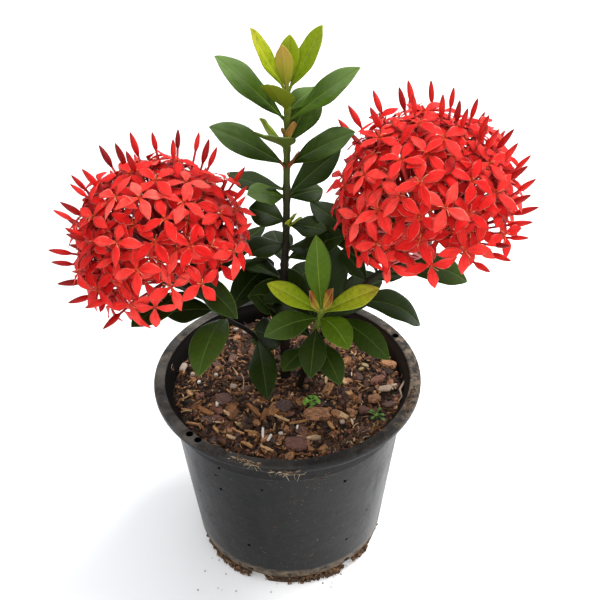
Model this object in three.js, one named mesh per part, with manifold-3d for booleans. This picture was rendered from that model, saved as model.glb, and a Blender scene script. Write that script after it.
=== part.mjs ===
// Potted ixora: a young woody shrub with two round red flower heads and one leafy leader,
// standing in the potting mix of a round plastic nursery pot. Millimetres, +Z up.
// The origin is on the pot's axis at the level of its foot.
import * as THREE from "three";
import { mergeVertices } from "three/addons/utils/BufferGeometryUtils.js";
import Module from "manifold-3d";

const wasm = await Module();
wasm.setup();

// ---- Driving dimensions ----

const POT = {
  height: 133,
  rimRadius: 85, // outside of the rolled lip
  lipHeight: 4.2,
  mouthRadius: 78.8, // inside of the lip
  edge: 0.9, // rounding of the lip's edges
  wall: 1.6,
  collarHeight: 112, // the straight collar starts here
  collarRadius: 75.4,
  innerCollarRadius: 73.5,
  throatRadius: 74.9, // where the lip begins to spread out
  throatHeight: 127.5,
  step: 0.7, // of the collar out from the tapered wall
  baseRadius: 64, // of the tapered wall, just above the foot ring
  footRadius: 62,
  footHeight: 8,
  footWall: 2.5,
  floorThickness: 2,
  sides: 36,
};
const FOOT_NOTCHES = { count: 6, firstDegrees: 249, width: 13, height: 7 };
const DRAIN_SLOTS = { width: 4.5, height: 3, depth: 8, beside: -3 }; // degrees from each notch
const HANGER_HOLES = { radius: 2.3, ringRadius: 81.7, degrees: [26, 224.6, 229.8] };

const CLEARANCE = 0.3; // between neighbouring solids
const SLIVER = 0.01; // faces narrower than this are folded into their neighbours
const GOLDEN_ANGLE = Math.PI * (3 - Math.sqrt(5));
const MIX = { level: 120.6, swell: 0.9, longWave: 0.12, shortWave: 0.3, rings: 5, sides: 24 };
const FACET_GAP = 0.4; // keeps the flat facets of the mix inside those of the pot
const CHIPS = { count: 32, minLength: 3, maxLength: 9, thickness: 2.2, tilt: 0.45, reach: 66.5 };

const BLADE_THICKNESS = 0.7;
const LARGE_BLADE = { from: 30, stations: [0, 0.18, 0.44, 0.74, 1] };
const SMALL_BLADE = { stations: [0, 0.25, 0.62, 1] };
const BLADE_CUP = 7; // degrees that each half is folded up from the midrib
const BLADE_OUTLINE = { petiole: 0.05, swell: 1.22, fullness: 0.85 }; // see halfWidth
const PETIOLE_HALF_WIDTH = 0.9;

const HEAD = {
  faceRadius: 49.5, // where the open flowers stand, from the middle of the dome
  tuck: 6.5, // how much nearer the lowest flowers stand
  budRadius: 61.5, // where the bud tips end
  coreRadius: 15, // of the knot of short branches that the flower tubes grow from
  coverage: 122, // of the flowers, in degrees from the dome's axis
  budCoverage: 104,
  flowers: 35,
  buds: 22,
  budless: { toward: [0, -0.85, 0.2], above: 0.45 }, // the front holds open flowers only
};
const FLOWER = {
  petal: 14.5, // length, from the flower's middle
  halfWidth: 5.2,
  widestAt: 0.47, // share of the length
  fold: 0.008, // how fast the petals bend back, per mm
  throat: 1.5,
  throatDepth: 0.4,
  thickness: 0.7,
  tubeRadius: 1,
};
const BUD = { length: 11, radius: 1.75, stalkRadius: 0.75, tipRadius: 0.35 };

// ---- Where the shoots run: points [x, y, z] and the stem's radius there ----

const STEMS = {
  main: {
    points: [[-4, 9, 110], [-4, 9, 121], [-3, 7.5, 160], [-1, 6, 200], [1, 5, 236], [2, 5, 274],
      [2.6, 4, 300], [3, 3.2, 313.6]],
    radii: [4.2, 3.8, 3.1, 2.8, 2.6, 2.3, 2, 1.9],
  },
  left: {
    points: [[-15, 5, 110], [-16, 4, 121], [-23, 1, 150], [-36, -4, 178], [-50, -9, 200],
      [-59.5, -10.8, 209]],
    radii: [2.7, 2.5, 2.2, 2, 1.9, 1.8],
  },
  right: {
    points: [[8, 8, 110], [9, 8, 121], [19, 4, 152], [34, -1, 182], [51, -5, 207],
      [65, -8, 217.5], [76, -9.6, 226]],
    radii: [2.9, 2.7, 2.3, 2, 1.9, 1.85, 1.8],
  },
  front: {
    points: [[4, -3, 110], [5, -4, 121], [10, -8, 145], [16, -15, 170], [19.5, -20, 189.6]],
    radii: [2.3, 2.1, 1.9, 1.7, 1.6],
  },
  mainTip: {
    points: [[3, 3.2, 313.9], [3, 3, 318], [3, 3, 323]],
    radii: [1.9, 1.7, 1.2],
  },
  frontTip: {
    points: [[19.6, -20.1, 189.9], [20.5, -21.3, 193.5], [21.2, -22.2, 198]],
    radii: [1.6, 1.5, 1.1],
  },
};

// Each leaf: height of its joint on the stem, turn about +Z from +X, rise of its base above the
// level, length, width, droop from base to tip, and twist about its midrib (all angles in degrees).
const LEAVES = {
  main: [
    { z: 309, turn: 215, rise: 44, length: 22, width: 16, droop: -10, twist: -40 },
    { z: 309, turn: 42, rise: 24, length: 20, width: 15, droop: 0, twist: 10 },
    { z: 303, turn: 185, rise: 48, length: 52, width: 19, droop: 4, twist: -30 },
    { z: 303, turn: 355, rise: 41, length: 49, width: 19, droop: 4, twist: 24 },
    { z: 288, turn: 50, rise: 51, length: 36, width: 20, droop: 5, twist: 30 },
    { z: 287, turn: 212, rise: 40, length: 26, width: 17, droop: 14, twist: -5 },
    { z: 276, turn: 188, rise: 38, length: 49, width: 20, droop: 10, twist: -30 },
    { z: 276, turn: 352, rise: 37, length: 44, width: 20, droop: 10, twist: 25 },
    { z: 262, turn: 160, rise: 17, length: 35, width: 19, droop: 15, twist: 12 },
    { z: 257, turn: 15, rise: 42, length: 40, width: 21, droop: 8, twist: 18 },
    { z: 257, turn: 205, rise: 22, length: 25, width: 19, droop: 10, twist: -15 },
    { z: 256, turn: 27, rise: 5, length: 23, width: 17, droop: 10, twist: 25 },
    { z: 240, turn: 175, rise: 27, length: 23, width: 21, droop: 10, twist: -25 },
    { z: 239, turn: 335, rise: 8, length: 26, width: 20, droop: 12, twist: 10 },
    { z: 240, turn: 0, rise: -8, length: 36, width: 19, droop: 20, twist: -10 },
    { z: 224, turn: 205, rise: 10, length: 21, width: 20, droop: 10, twist: -10 },
    { z: 214, turn: 340, rise: 38, length: 44, width: 20, droop: 10, twist: -10 },
    { z: 210, turn: 100, rise: 12, length: 42, width: 20, droop: 25, twist: 0 },
    { z: 194, turn: 205, rise: 4, length: 20, width: 20, droop: 15, twist: -20 },
    { z: 158, turn: 255, rise: 8, length: 50, width: 16, droop: 45, twist: -8 },
    { z: 150, turn: 174, rise: 10, length: 22, width: 16, droop: 15, twist: -10 },
  ],
  mainTip: [
    { z: 320, turn: 190, rise: 59, length: 39, width: 13, droop: -8, twist: -35 },
    { z: 320, turn: 5, rise: 58, length: 39, width: 16, droop: -8, twist: 28 },
    { z: 321, turn: 78, rise: 73, length: 28, width: 12, droop: 0, twist: 0 },
    { z: 321, turn: 265, rise: 76, length: 27, width: 11, droop: 0, twist: 0 },
  ],
  left: [
    { z: 206, turn: 310, rise: 17, length: 46, width: 19, droop: 25, twist: -12 },
    { z: 203, turn: 216, rise: 5, length: 44, width: 20, droop: 25, twist: -10 },
    { z: 204, turn: 52, rise: 20, length: 58, width: 17, droop: 10, twist: 10 },
    { z: 190, turn: 130, rise: 12, length: 40, width: 20, droop: 20, twist: 10 },
    { z: 178, turn: 52, rise: 30, length: 50, width: 20, droop: 15, twist: 12 },
    { z: 186, turn: 185, rise: 10, length: 32, width: 19, droop: 20, twist: -20 },
    { z: 174, turn: 252, rise: 14, length: 47, width: 20, droop: 45, twist: -25 },
  ],
  right: [
    { z: 210, turn: 138, rise: 38, length: 58, width: 22, droop: 15, twist: -25 },
    { z: 204, turn: 165, rise: 55, length: 26, width: 17, droop: 10, twist: -20 },
    { z: 206, turn: 5, rise: 15, length: 20, width: 13, droop: 20, twist: 0 },
    { z: 212, turn: 345, rise: 11, length: 50, width: 20, droop: 22, twist: -5 },
    { z: 212, turn: 60, rise: 30, length: 30, width: 17, droop: 15, twist: 10 },
    { z: 187, turn: 339, rise: 12, length: 47, width: 18, droop: 35, twist: 0 },
    { z: 174, turn: 310, rise: 15, length: 50, width: 19, droop: 35, twist: -5 },
    { z: 168, turn: 331, rise: 0, length: 26, width: 13, droop: 20, twist: 5 },
    { z: 185, turn: 60, rise: 5, length: 44, width: 20, droop: 15, twist: 0 },
    { z: 160, turn: 100, rise: 20, length: 42, width: 19, droop: 30, twist: 0 },
  ],
  front: [
    { z: 188, turn: 204, rise: 9, length: 36, width: 17, droop: 25, twist: -12 },
    { z: 188, turn: 310, rise: 2, length: 28, width: 15, droop: 25, twist: 5 },
    { z: 181, turn: 262, rise: 11, length: 40, width: 16, droop: 40, twist: 0 },
    { z: 172, turn: 292, rise: 9, length: 40, width: 15.5, droop: 40, twist: 5 },
    { z: 164, turn: 228, rise: 6, length: 26, width: 15, droop: 35, twist: -5 },
  ],
  frontTip: [
    { z: 196, turn: 113, rise: 80, length: 49, width: 16, droop: -5, twist: 0 },
    { z: 195, turn: 165, rise: 34, length: 36, width: 14, droop: 15, twist: -28 },
    { z: 195, turn: 20, rise: 21, length: 39, width: 14, droop: 12, twist: 26 },
    { z: 196.5, turn: 200, rise: 75, length: 17, width: 4.5, droop: 0, twist: 0 },
    { z: 196.5, turn: 340, rise: 75, length: 17, width: 4.5, droop: 0, twist: 0 },
  ],
};

// The two domes: the middle of each, the root that its flower tubes fan out from, the stem that
// carries it, and a seed for its flowers.
const HEADS = {
  left_flower_head: { middle: [-69.1, -12, 238.9], root: [-63, -11, 217.5], stem: "left", seed: 17 },
  right_flower_head: { middle: [76.6, -12, 265.7], root: [82, -10, 237.7], stem: "right", seed: 41 },
};

const SEEDLINGS = {
  weed_seedling_1: { at: [15, -22], height: 7, leaf: 6.5, turn: 20 },
  weed_seedling_2: { at: [55, -33], height: 6, leaf: 5, turn: 70 },
};

// ---- Finishes ----

const finish = (color, roughness, metalness = 0) =>
  new THREE.MeshStandardMaterial({ color, roughness, metalness });

const FINISH = {
  pot: finish(0x3a3b3e, 0.55),
  mix: finish(0x3b2a20, 0.95),
  matureLeaf: finish(0x24401a, 0.4),
  youngLeaf: finish(0x9aa62c, 0.4),
  flower: finish(0xe8281c, 0.5),
  seedling: finish(0x4f9a2a, 0.5),
};

// ---- Small tools ----

const radians = THREE.MathUtils.degToRad;
const vector = (p) => new THREE.Vector3(...p);

// A repeatable value from 0 to 1 for each pair of whole numbers.
function chance(index, seed) {
  const value = Math.sin(index * 12.9898 + seed * 78.233) * 43758.5453;
  return value - Math.floor(value);
}

// A closed three.js geometry as a manifold solid, turned so that its faces point out.
function solid(geometry) {
  const bare = geometry.index ? geometry.toNonIndexed() : geometry.clone();
  bare.deleteAttribute("normal");
  bare.deleteAttribute("uv");
  const merged = mergeVertices(bare, 1e-4);
  const vertProperties = merged.attributes.position.array;
  const triVerts = new Uint32Array(merged.index.array);
  const made = new wasm.Manifold(new wasm.Mesh({ numProp: 3, vertProperties, triVerts }));
  if (made.volume() > 0) return made;
  for (let i = 0; i < triVerts.length; i += 3) {
    [triVerts[i + 1], triVerts[i + 2]] = [triVerts[i + 2], triVerts[i + 1]];
  }
  return new wasm.Manifold(new wasm.Mesh({ numProp: 3, vertProperties, triVerts }));
}

const union = (solids) => solids.reduce((all, next) => all.add(next));

// The finished, named mesh of a solid, without the loose scraps that a join can leave.
function piece(name, made, material) {
  const bodies = made.decompose().sort((a, b) => b.volume() - a.volume());
  const mesh = bodies[0].simplify(SLIVER).getMesh();
  const positions = new Float32Array(mesh.numVert * 3);
  for (let i = 0; i < mesh.numVert; i++) {
    const start = i * mesh.numProp;
    positions.set(mesh.vertProperties.subarray(start, start + 3), i * 3);
  }
  const geometry = new THREE.BufferGeometry();
  geometry.setAttribute("position", new THREE.BufferAttribute(positions, 3));
  geometry.setIndex(new THREE.BufferAttribute(mesh.triVerts, 1));
  geometry.computeVertexNormals();
  const named = new THREE.Mesh(geometry, material);
  named.name = name;
  return named;
}

function geometryOf(points, triangles) {
  const geometry = new THREE.BufferGeometry();
  const flat = points.flatMap((p) => [p.x, p.y, p.z]);
  geometry.setAttribute("position", new THREE.Float32BufferAttribute(flat, 3));
  geometry.setIndex(triangles);
  return geometry;
}

// Two directions square to a direction and to each other.
function across(direction) {
  const helper = Math.abs(direction.z) < 0.9 ? new THREE.Vector3(0, 0, 1) : new THREE.Vector3(1, 0, 0);
  const u = helper.cross(direction).normalize();
  return [u, direction.clone().cross(u)];
}

// A round rod through a row of points, with its own radius at each, closed by flat ends. Its rings
// keep their turn from one point to the next, so that the skin never twists.
function rod(points, radii, sides) {
  const ring = [];
  const triangles = [];
  const [u] = across(points[1].clone().sub(points[0]).normalize());
  points.forEach((point, i) => {
    const before = points[Math.max(i - 1, 0)];
    const after = points[Math.min(i + 1, points.length - 1)];
    const along = after.clone().sub(before).normalize();
    u.addScaledVector(along, -u.dot(along)).normalize();
    const v = along.cross(u);
    for (let k = 0; k < sides; k++) {
      const angle = (2 * Math.PI * k) / sides;
      const offset = u.clone().multiplyScalar(Math.cos(angle)).addScaledVector(v, Math.sin(angle));
      ring.push(point.clone().addScaledVector(offset, radii[i]));
    }
  });
  for (let i = 0; i + 1 < points.length; i++) {
    for (let k = 0; k < sides; k++) {
      const a = i * sides + k;
      const b = i * sides + ((k + 1) % sides);
      triangles.push(a, b, b + sides, a, b + sides, a + sides);
    }
  }
  const last = (points.length - 1) * sides;
  for (let k = 1; k + 1 < sides; k++) {
    triangles.push(0, k + 1, k, last, last + k, last + k + 1);
  }
  return solid(geometryOf(ring, triangles));
}

// A thin sheet: rows of {at, normal} become two alike faces, half a thickness to each side.
function sheet(rows, thickness) {
  const width = rows[0].length;
  const points = [1, -1].flatMap((side) =>
    rows.flat().map(({ at, normal }) => at.clone().addScaledVector(normal, (side * thickness) / 2)),
  );
  const under = rows.length * width;
  const triangles = [];
  for (let i = 0; i + 1 < rows.length; i++) {
    for (let k = 0; k + 1 < width; k++) {
      const a = i * width + k;
      const [b, c, d] = [a + 1, a + width + 1, a + width];
      triangles.push(a, b, c, a, c, d);
      triangles.push(under + a, under + c, under + b, under + a, under + d, under + c);
    }
  }
  const edge = [];
  for (let k = 0; k < width; k++) edge.push(k);
  for (let i = 1; i < rows.length; i++) edge.push(i * width + width - 1);
  for (let k = width - 2; k >= 0; k--) edge.push((rows.length - 1) * width + k);
  for (let i = rows.length - 2; i > 0; i--) edge.push(i * width);
  edge.forEach((a, n) => {
    const b = edge[(n + 1) % edge.length];
    triangles.push(a, under + a, under + b, a, under + b, b);
  });
  return solid(geometryOf(points, triangles));
}

// ---- Pot ----

function turned(profile, sides) {
  const outline = profile.map(([radius, height]) => new THREE.Vector2(radius, height));
  return solid(new THREE.LatheGeometry(outline, sides).rotateX(Math.PI / 2));
}

// A box or cylinder moved out to a radius, then swung round the pot's axis.
function aroundPot(geometry, radius, height, degrees) {
  return solid(geometry.translate(radius, 0, height).rotateZ(radians(degrees)));
}

function pot() {
  const floorTop = POT.footHeight + POT.floorThickness;
  const collarTop = POT.height - POT.lipHeight;
  const body = turned(
    [
      [0, POT.footHeight],
      [POT.footRadius - POT.footWall, POT.footHeight],
      [POT.footRadius - POT.footWall, 0],
      [POT.footRadius, 0],
      [POT.footRadius, POT.footHeight],
      [POT.baseRadius, POT.footHeight + 1],
      [POT.collarRadius - POT.step, POT.collarHeight],
      [POT.collarRadius, POT.collarHeight + POT.step],
      [POT.collarRadius + POT.step, collarTop],
      [POT.rimRadius - POT.edge, collarTop],
      [POT.rimRadius, collarTop + POT.edge],
      [POT.rimRadius, POT.height - POT.edge],
      [POT.rimRadius - POT.edge, POT.height],
      [POT.mouthRadius + POT.edge, POT.height],
      [POT.mouthRadius, POT.height - POT.edge],
      [POT.throatRadius, POT.throatHeight],
      [POT.innerCollarRadius, POT.collarHeight],
      [POT.baseRadius - POT.wall, floorTop],
      [0, floorTop],
    ],
    POT.sides,
  );
  const step = 360 / FOOT_NOTCHES.count;
  const cuts = [];
  for (let i = 0; i < FOOT_NOTCHES.count; i++) {
    const degrees = FOOT_NOTCHES.firstDegrees + i * step;
    const arch = new THREE.CylinderGeometry(FOOT_NOTCHES.width / 2, FOOT_NOTCHES.width / 2, 9, 8);
    arch.rotateZ(Math.PI / 2).scale(1, 1, FOOT_NOTCHES.height / (FOOT_NOTCHES.width / 2));
    cuts.push(aroundPot(arch, POT.footRadius, 0, degrees));
    const slot = new THREE.BoxGeometry(DRAIN_SLOTS.depth, DRAIN_SLOTS.width, DRAIN_SLOTS.height);
    const slotHeight = floorTop + DRAIN_SLOTS.height / 2;
    cuts.push(aroundPot(slot, POT.baseRadius - 1, slotHeight, degrees + DRAIN_SLOTS.beside));
  }
  for (const degrees of HANGER_HOLES.degrees) {
    const hole = new THREE.CylinderGeometry(HANGER_HOLES.radius, HANGER_HOLES.radius, 12, 8);
    hole.rotateX(Math.PI / 2);
    cuts.push(aroundPot(hole, HANGER_HOLES.ringRadius, POT.height, degrees));
  }
  return piece("pot", body.subtract(union(cuts)), FINISH.pot);
}

// ---- Potting mix, with bark chips, and plain holes where the stems stand ----

function mixHeight(x, y) {
  const long = Math.sin(MIX.longWave * x + 1.3) * Math.cos(MIX.longWave * y - 0.4);
  const short = 0.45 * Math.sin(MIX.shortWave * (x - y));
  return MIX.level + MIX.swell * (long + short);
}

function mixBody() {
  const floor = POT.footHeight + POT.floorThickness + CLEARANCE;
  const inset = CLEARANCE + FACET_GAP;
  const topRadius = POT.innerCollarRadius - inset;
  const rings = [
    [POT.baseRadius - POT.wall - inset, floor],
    [topRadius, POT.collarHeight],
  ];
  const points = [new THREE.Vector3(0, 0, floor)];
  for (const [radius, height] of rings) {
    for (let k = 0; k < MIX.sides; k++) {
      const angle = (2 * Math.PI * k) / MIX.sides;
      points.push(new THREE.Vector3(radius * Math.cos(angle), radius * Math.sin(angle), height));
    }
  }
  for (let ring = MIX.rings; ring > 0; ring--) {
    const radius = (topRadius * ring) / MIX.rings;
    for (let k = 0; k < MIX.sides; k++) {
      const angle = (2 * Math.PI * (k + (ring % 2) / 2)) / MIX.sides;
      const [x, y] = [radius * Math.cos(angle), radius * Math.sin(angle)];
      points.push(new THREE.Vector3(x, y, mixHeight(x, y)));
    }
  }
  points.push(new THREE.Vector3(0, 0, mixHeight(0, 0)));
  const triangles = [];
  const count = rings.length + MIX.rings;
  const top = points.length - 1;
  const lastRing = 1 + (count - 1) * MIX.sides;
  for (let k = 0; k < MIX.sides; k++) {
    const next = (k + 1) % MIX.sides;
    triangles.push(0, 1 + next, 1 + k, top, lastRing + k, lastRing + next);
    for (let ring = 0; ring + 1 < count; ring++) {
      const a = 1 + ring * MIX.sides;
      const b = a + MIX.sides;
      triangles.push(a + k, a + next, b + next, a + k, b + next, b + k);
    }
  }
  return solid(geometryOf(points, triangles));
}

// Bark chips lie at all angles, half sunk, thickest where the pot is open.
function chips() {
  const made = [];
  for (let i = 0; i < CHIPS.count; i++) {
    const radius = CHIPS.reach * Math.sqrt((i + 0.5) / CHIPS.count);
    const angle = i * GOLDEN_ANGLE + 0.4 * chance(i, 1);
    const length = CHIPS.minLength + (CHIPS.maxLength - CHIPS.minLength) * chance(i, 2) ** 2;
    const width = length * (0.35 + 0.4 * chance(i, 3));
    const chip = new THREE.BoxGeometry(length, width, CHIPS.thickness);
    chip.rotateX(CHIPS.tilt * (2 * chance(i, 4) - 1)).rotateY(CHIPS.tilt * (2 * chance(i, 5) - 1));
    chip.rotateZ(2 * Math.PI * chance(i, 6));
    const [x, y] = [radius * Math.cos(angle), radius * Math.sin(angle)];
    made.push({ x, y, body: solid(chip.translate(x, y, mixHeight(x, y) + 0.3)) });
  }
  return made;
}

function stemHole(stem) {
  const points = stem.points.slice(0, 3).map(vector);
  points[0].z -= CLEARANCE;
  return rod(points, stem.radii.slice(0, 3).map((radius) => radius + CLEARANCE), 10);
}

function pottingMix(plants) {
  const clearOf = (x, y) => plants.every((plant) => Math.hypot(x - plant[0], y - plant[1]) > 9);
  const laid = chips().filter(({ x, y }) => clearOf(x, y)).map(({ body }) => body);
  const holes = ["main", "left", "right", "front"].map((name) => stemHole(STEMS[name]));
  const seats = Object.values(SEEDLINGS).map(({ at: [x, y] }) => seedlingHole(x, y));
  const filled = union([mixBody(), ...laid]);
  return piece("potting_mix", filled.subtract(union([...holes, ...seats])), FINISH.mix);
}

// ---- Leaves and leafy shoots ----

function pointAtHeight(stem, z) {
  const points = stem.points;
  const above = Math.max(1, points.findIndex((p) => p[2] >= z));
  const [a, b] = [points[above - 1], points[above]];
  return vector(a).lerp(vector(b), (z - a[2]) / (b[2] - a[2]));
}

// Half the width of a blade at a share of its length: a short petiole, then a long ellipse that is
// widest past its middle and ends in a short point.
function halfWidth(share, width) {
  const { petiole, swell, fullness } = BLADE_OUTLINE;
  const q = Math.max(0, (share - petiole) / (1 - petiole));
  const blade = (width / 2) * Math.abs(Math.sin(Math.PI * q ** swell)) ** fullness;
  return Math.max(PETIOLE_HALF_WIDTH * (1 - 0.6 * q), blade);
}

function leaf(root, { turn, rise, length, width, droop, twist }) {
  const { stations } = length > LARGE_BLADE.from ? LARGE_BLADE : SMALL_BLADE;
  const level = new THREE.Vector3(Math.cos(radians(turn)), Math.sin(radians(turn)), 0);
  const side = new THREE.Vector3(-level.y, level.x, 0);
  const at = root.clone();
  const cup = radians(BLADE_CUP);
  const roll = radians(twist);
  const rows = stations.map((share, i) => {
    if (i > 0) {
      const middle = radians(rise - (droop * (share + stations[i - 1])) / 2);
      const run = length * (share - stations[i - 1]);
      at.addScaledVector(level, run * Math.cos(middle));
      at.z += run * Math.sin(middle);
    }
    const slope = radians(rise - droop * share);
    const normal = level.clone().multiplyScalar(-Math.sin(slope));
    normal.z = Math.cos(slope);
    const s = side.clone().multiplyScalar(Math.cos(roll)).addScaledVector(normal, Math.sin(roll));
    const n = normal.multiplyScalar(Math.cos(roll)).addScaledVector(side, -Math.sin(roll));
    const half = halfWidth(share, width);
    return [1, 0, -1].map((edge) => {
      const out = s.clone().multiplyScalar(edge * Math.cos(cup));
      out.addScaledVector(n, Math.abs(edge) * Math.sin(cup));
      const lean = s.clone().multiplyScalar(-edge * Math.sin(cup));
      return {
        at: at.clone().addScaledVector(out, edge ? half : 0),
        normal: lean.addScaledVector(n, Math.cos(cup)).normalize(),
      };
    });
  });
  return sheet(rows, BLADE_THICKNESS);
}

function shoot(name, key, material) {
  const stem = STEMS[key];
  const blades = LEAVES[key].map((spec) => leaf(pointAtHeight(stem, spec.z), spec));
  return piece(name, union([rod(stem.points.map(vector), stem.radii, 8), ...blades]), material);
}

// ---- Flower heads ----

// Even places over a dome: a golden-angle spiral from the axis out to the coverage angle.
function domePlaces(count, axis, seed, coverage) {
  const [u, v] = across(axis);
  const lowest = Math.cos(radians(coverage));
  return Array.from({ length: count }, (_, i) => {
    const height = 1 - (1 - lowest) * ((i + 0.5) / count);
    const radius = Math.sqrt(1 - height * height);
    const angle = i * GOLDEN_ANGLE + seed + 0.25 * (chance(i, seed) - 0.5);
    return axis.clone().multiplyScalar(height)
      .addScaledVector(u, radius * Math.cos(angle))
      .addScaledVector(v, radius * Math.sin(angle));
  });
}

// One open flower: a flat cross of four pointed petals on a thin square tube, in one closed skin.
function flower(root, centre, spin) {
  const facing = centre.clone().sub(root).normalize();
  const [u, v] = across(facing);
  const place = (x, y, lift) =>
    centre.clone().addScaledVector(u, x).addScaledVector(v, y).addScaledVector(facing, lift);
  const nick = FLOWER.throat * Math.SQRT1_2;
  const widest = FLOWER.petal * FLOWER.widestAt;
  const petalOutline = [[nick, -nick], [widest, -FLOWER.halfWidth], [FLOWER.petal, 0],
    [widest, FLOWER.halfWidth]];
  const turns = [0, 1, 2, 3].map((petal) => spin + (petal * Math.PI) / 2);
  const outline = turns.flatMap((turn) =>
    petalOutline.map(([x, y]) => [
      x * Math.cos(turn) - y * Math.sin(turn),
      x * Math.sin(turn) + y * Math.cos(turn),
      FLOWER.fold * (x * x + y * y),
    ]),
  );
  const corners = turns.map((turn) => turn - Math.PI / 4);
  const half = FLOWER.thickness / 2;
  const r = FLOWER.tubeRadius;
  const points = [
    place(0, 0, half - FLOWER.throatDepth),
    ...outline.map(([x, y, fold]) => place(x, y, half - fold)),
    ...outline.map(([x, y, fold]) => place(x, y, -half - fold)),
    ...corners.map((angle) =>
      place(r * Math.cos(angle), r * Math.sin(angle), -half - FLOWER.throatDepth)),
    ...corners.map((angle) =>
      root.clone().addScaledVector(u, r * Math.cos(angle)).addScaledVector(v, r * Math.sin(angle))),
  ];
  const ring = outline.length;
  const [upper, lower, neck, foot] = [1, 1 + ring, 1 + 2 * ring, 5 + 2 * ring];
  const triangles = [];
  for (let k = 0; k < ring; k++) {
    const next = (k + 1) % ring;
    triangles.push(0, upper + k, upper + next);
    triangles.push(upper + k, lower + k, lower + next, upper + k, lower + next, upper + next);
  }
  for (let petal = 0; petal < 4; petal++) {
    const next = (petal + 1) % 4;
    const [notch, left, tip, right] = [0, 1, 2, 3].map((k) => lower + petal * 4 + k);
    const nextNotch = lower + ((petal * 4 + 4) % ring);
    const [a, b] = [neck + petal, neck + next];
    triangles.push(a, left, notch, a, tip, left, a, b, tip, b, right, tip, b, nextNotch, right);
    triangles.push(a, foot + petal, foot + next, a, foot + next, b);
  }
  triangles.push(foot, foot + 2, foot + 1, foot, foot + 3, foot + 2);
  return solid(geometryOf(points, triangles));
}

function bud(root, tip) {
  const facing = tip.clone().sub(root).normalize();
  const back = (distance) => tip.clone().addScaledVector(facing, -distance);
  const { length, radius, stalkRadius, tipRadius } = BUD;
  return rod(
    [root, back(length), back(length * 0.45), tip],
    [stalkRadius, stalkRadius, radius, tipRadius],
    4,
  );
}

function flowerHead(name, { middle, root, stem, seed }) {
  const centre = vector(middle);
  const fan = vector(root);
  const lean = centre.clone().sub(fan).normalize();
  const startOf = (end) => fan.clone().lerp(end, 0.2);
  const knot = fan.clone().addScaledVector(lean, HEAD.coreRadius * 0.5);
  const core = solid(new THREE.IcosahedronGeometry(HEAD.coreRadius, 1).translate(...knot.toArray()));
  const [below, end] = STEMS[stem].points.slice(-2).map(vector);
  const onward = end.clone().sub(below).normalize();
  const foot = end.clone().addScaledVector(onward, CLEARANCE);
  const bend = foot.clone().addScaledVector(onward, 3);
  const stalkRadius = STEMS[stem].radii.at(-1);
  const grown = [core, rod([foot, bend, fan], [stalkRadius, stalkRadius, stalkRadius], 8)];
  domePlaces(HEAD.flowers, lean, seed, HEAD.coverage).forEach((way, i) => {
    const level = HEAD.faceRadius - (HEAD.tuck * i) / HEAD.flowers;
    const radius = level + 2.2 * ((i % 3) - 1) + chance(i, seed + 1) - 0.5;
    const face = centre.clone().addScaledVector(way, radius);
    grown.push(flower(startOf(face), face, Math.PI * chance(i, seed + 2)));
  });
  const front = vector(HEAD.budless.toward);
  domePlaces(HEAD.buds, lean, seed + 5, HEAD.budCoverage)
    .filter((way) => way.dot(front) < HEAD.budless.above)
    .forEach((way, i) => {
      const tip = centre.clone().addScaledVector(way, HEAD.budRadius - 4 * chance(i, seed + 3));
      grown.push(bud(startOf(tip), tip));
    });
  return piece(name, union(grown), FINISH.flower);
}

// ---- Weed seedlings ----

function seedlingHole(x, y) {
  const top = mixHeight(x, y) + 2;
  return rod([vector([x, y, top - 7]), vector([x, y, top])], [0.9 + CLEARANCE, 0.9 + CLEARANCE], 8);
}

function seedling(name, { at: [x, y], height, leaf: size, turn }) {
  const ground = mixHeight(x, y);
  const stalk = rod([vector([x, y, ground - 4]), vector([x, y, ground + height])], [0.9, 0.7], 6);
  const blades = [0, 1, 2].map((i) =>
    leaf(vector([x, y, ground + height - 0.8 - i * 0.8]), {
      turn: turn + i * 120,
      rise: 34 - 6 * i,
      length: size,
      width: size * 0.72,
      droop: 30,
      twist: 0,
    }),
  );
  return piece(name, union([stalk, ...blades]), FINISH.seedling);
}

// ---- The plant in its pot ----

const ixora = new THREE.Group();
ixora.add(pot());
const planted = ["main", "left", "right", "front"].map((name) => STEMS[name].points[1]);
ixora.add(pottingMix([...planted, ...Object.values(SEEDLINGS).map(({ at }) => at)]));
ixora.add(shoot("main_shoot", "main", FINISH.matureLeaf));
ixora.add(shoot("main_shoot_tip", "mainTip", FINISH.youngLeaf));
ixora.add(shoot("left_shoot", "left", FINISH.matureLeaf));
ixora.add(shoot("right_shoot", "right", FINISH.matureLeaf));
ixora.add(shoot("front_shoot", "front", FINISH.matureLeaf));
ixora.add(shoot("front_shoot_tip", "frontTip", FINISH.youngLeaf));
for (const [name, head] of Object.entries(HEADS)) ixora.add(flowerHead(name, head));
for (const [name, weed] of Object.entries(SEEDLINGS)) ixora.add(seedling(name, weed));

export default ixora;
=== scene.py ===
import math
from collections import namedtuple

import bmesh
import bpy
import numpy as np
from mathutils import Matrix, Vector, noise


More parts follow.
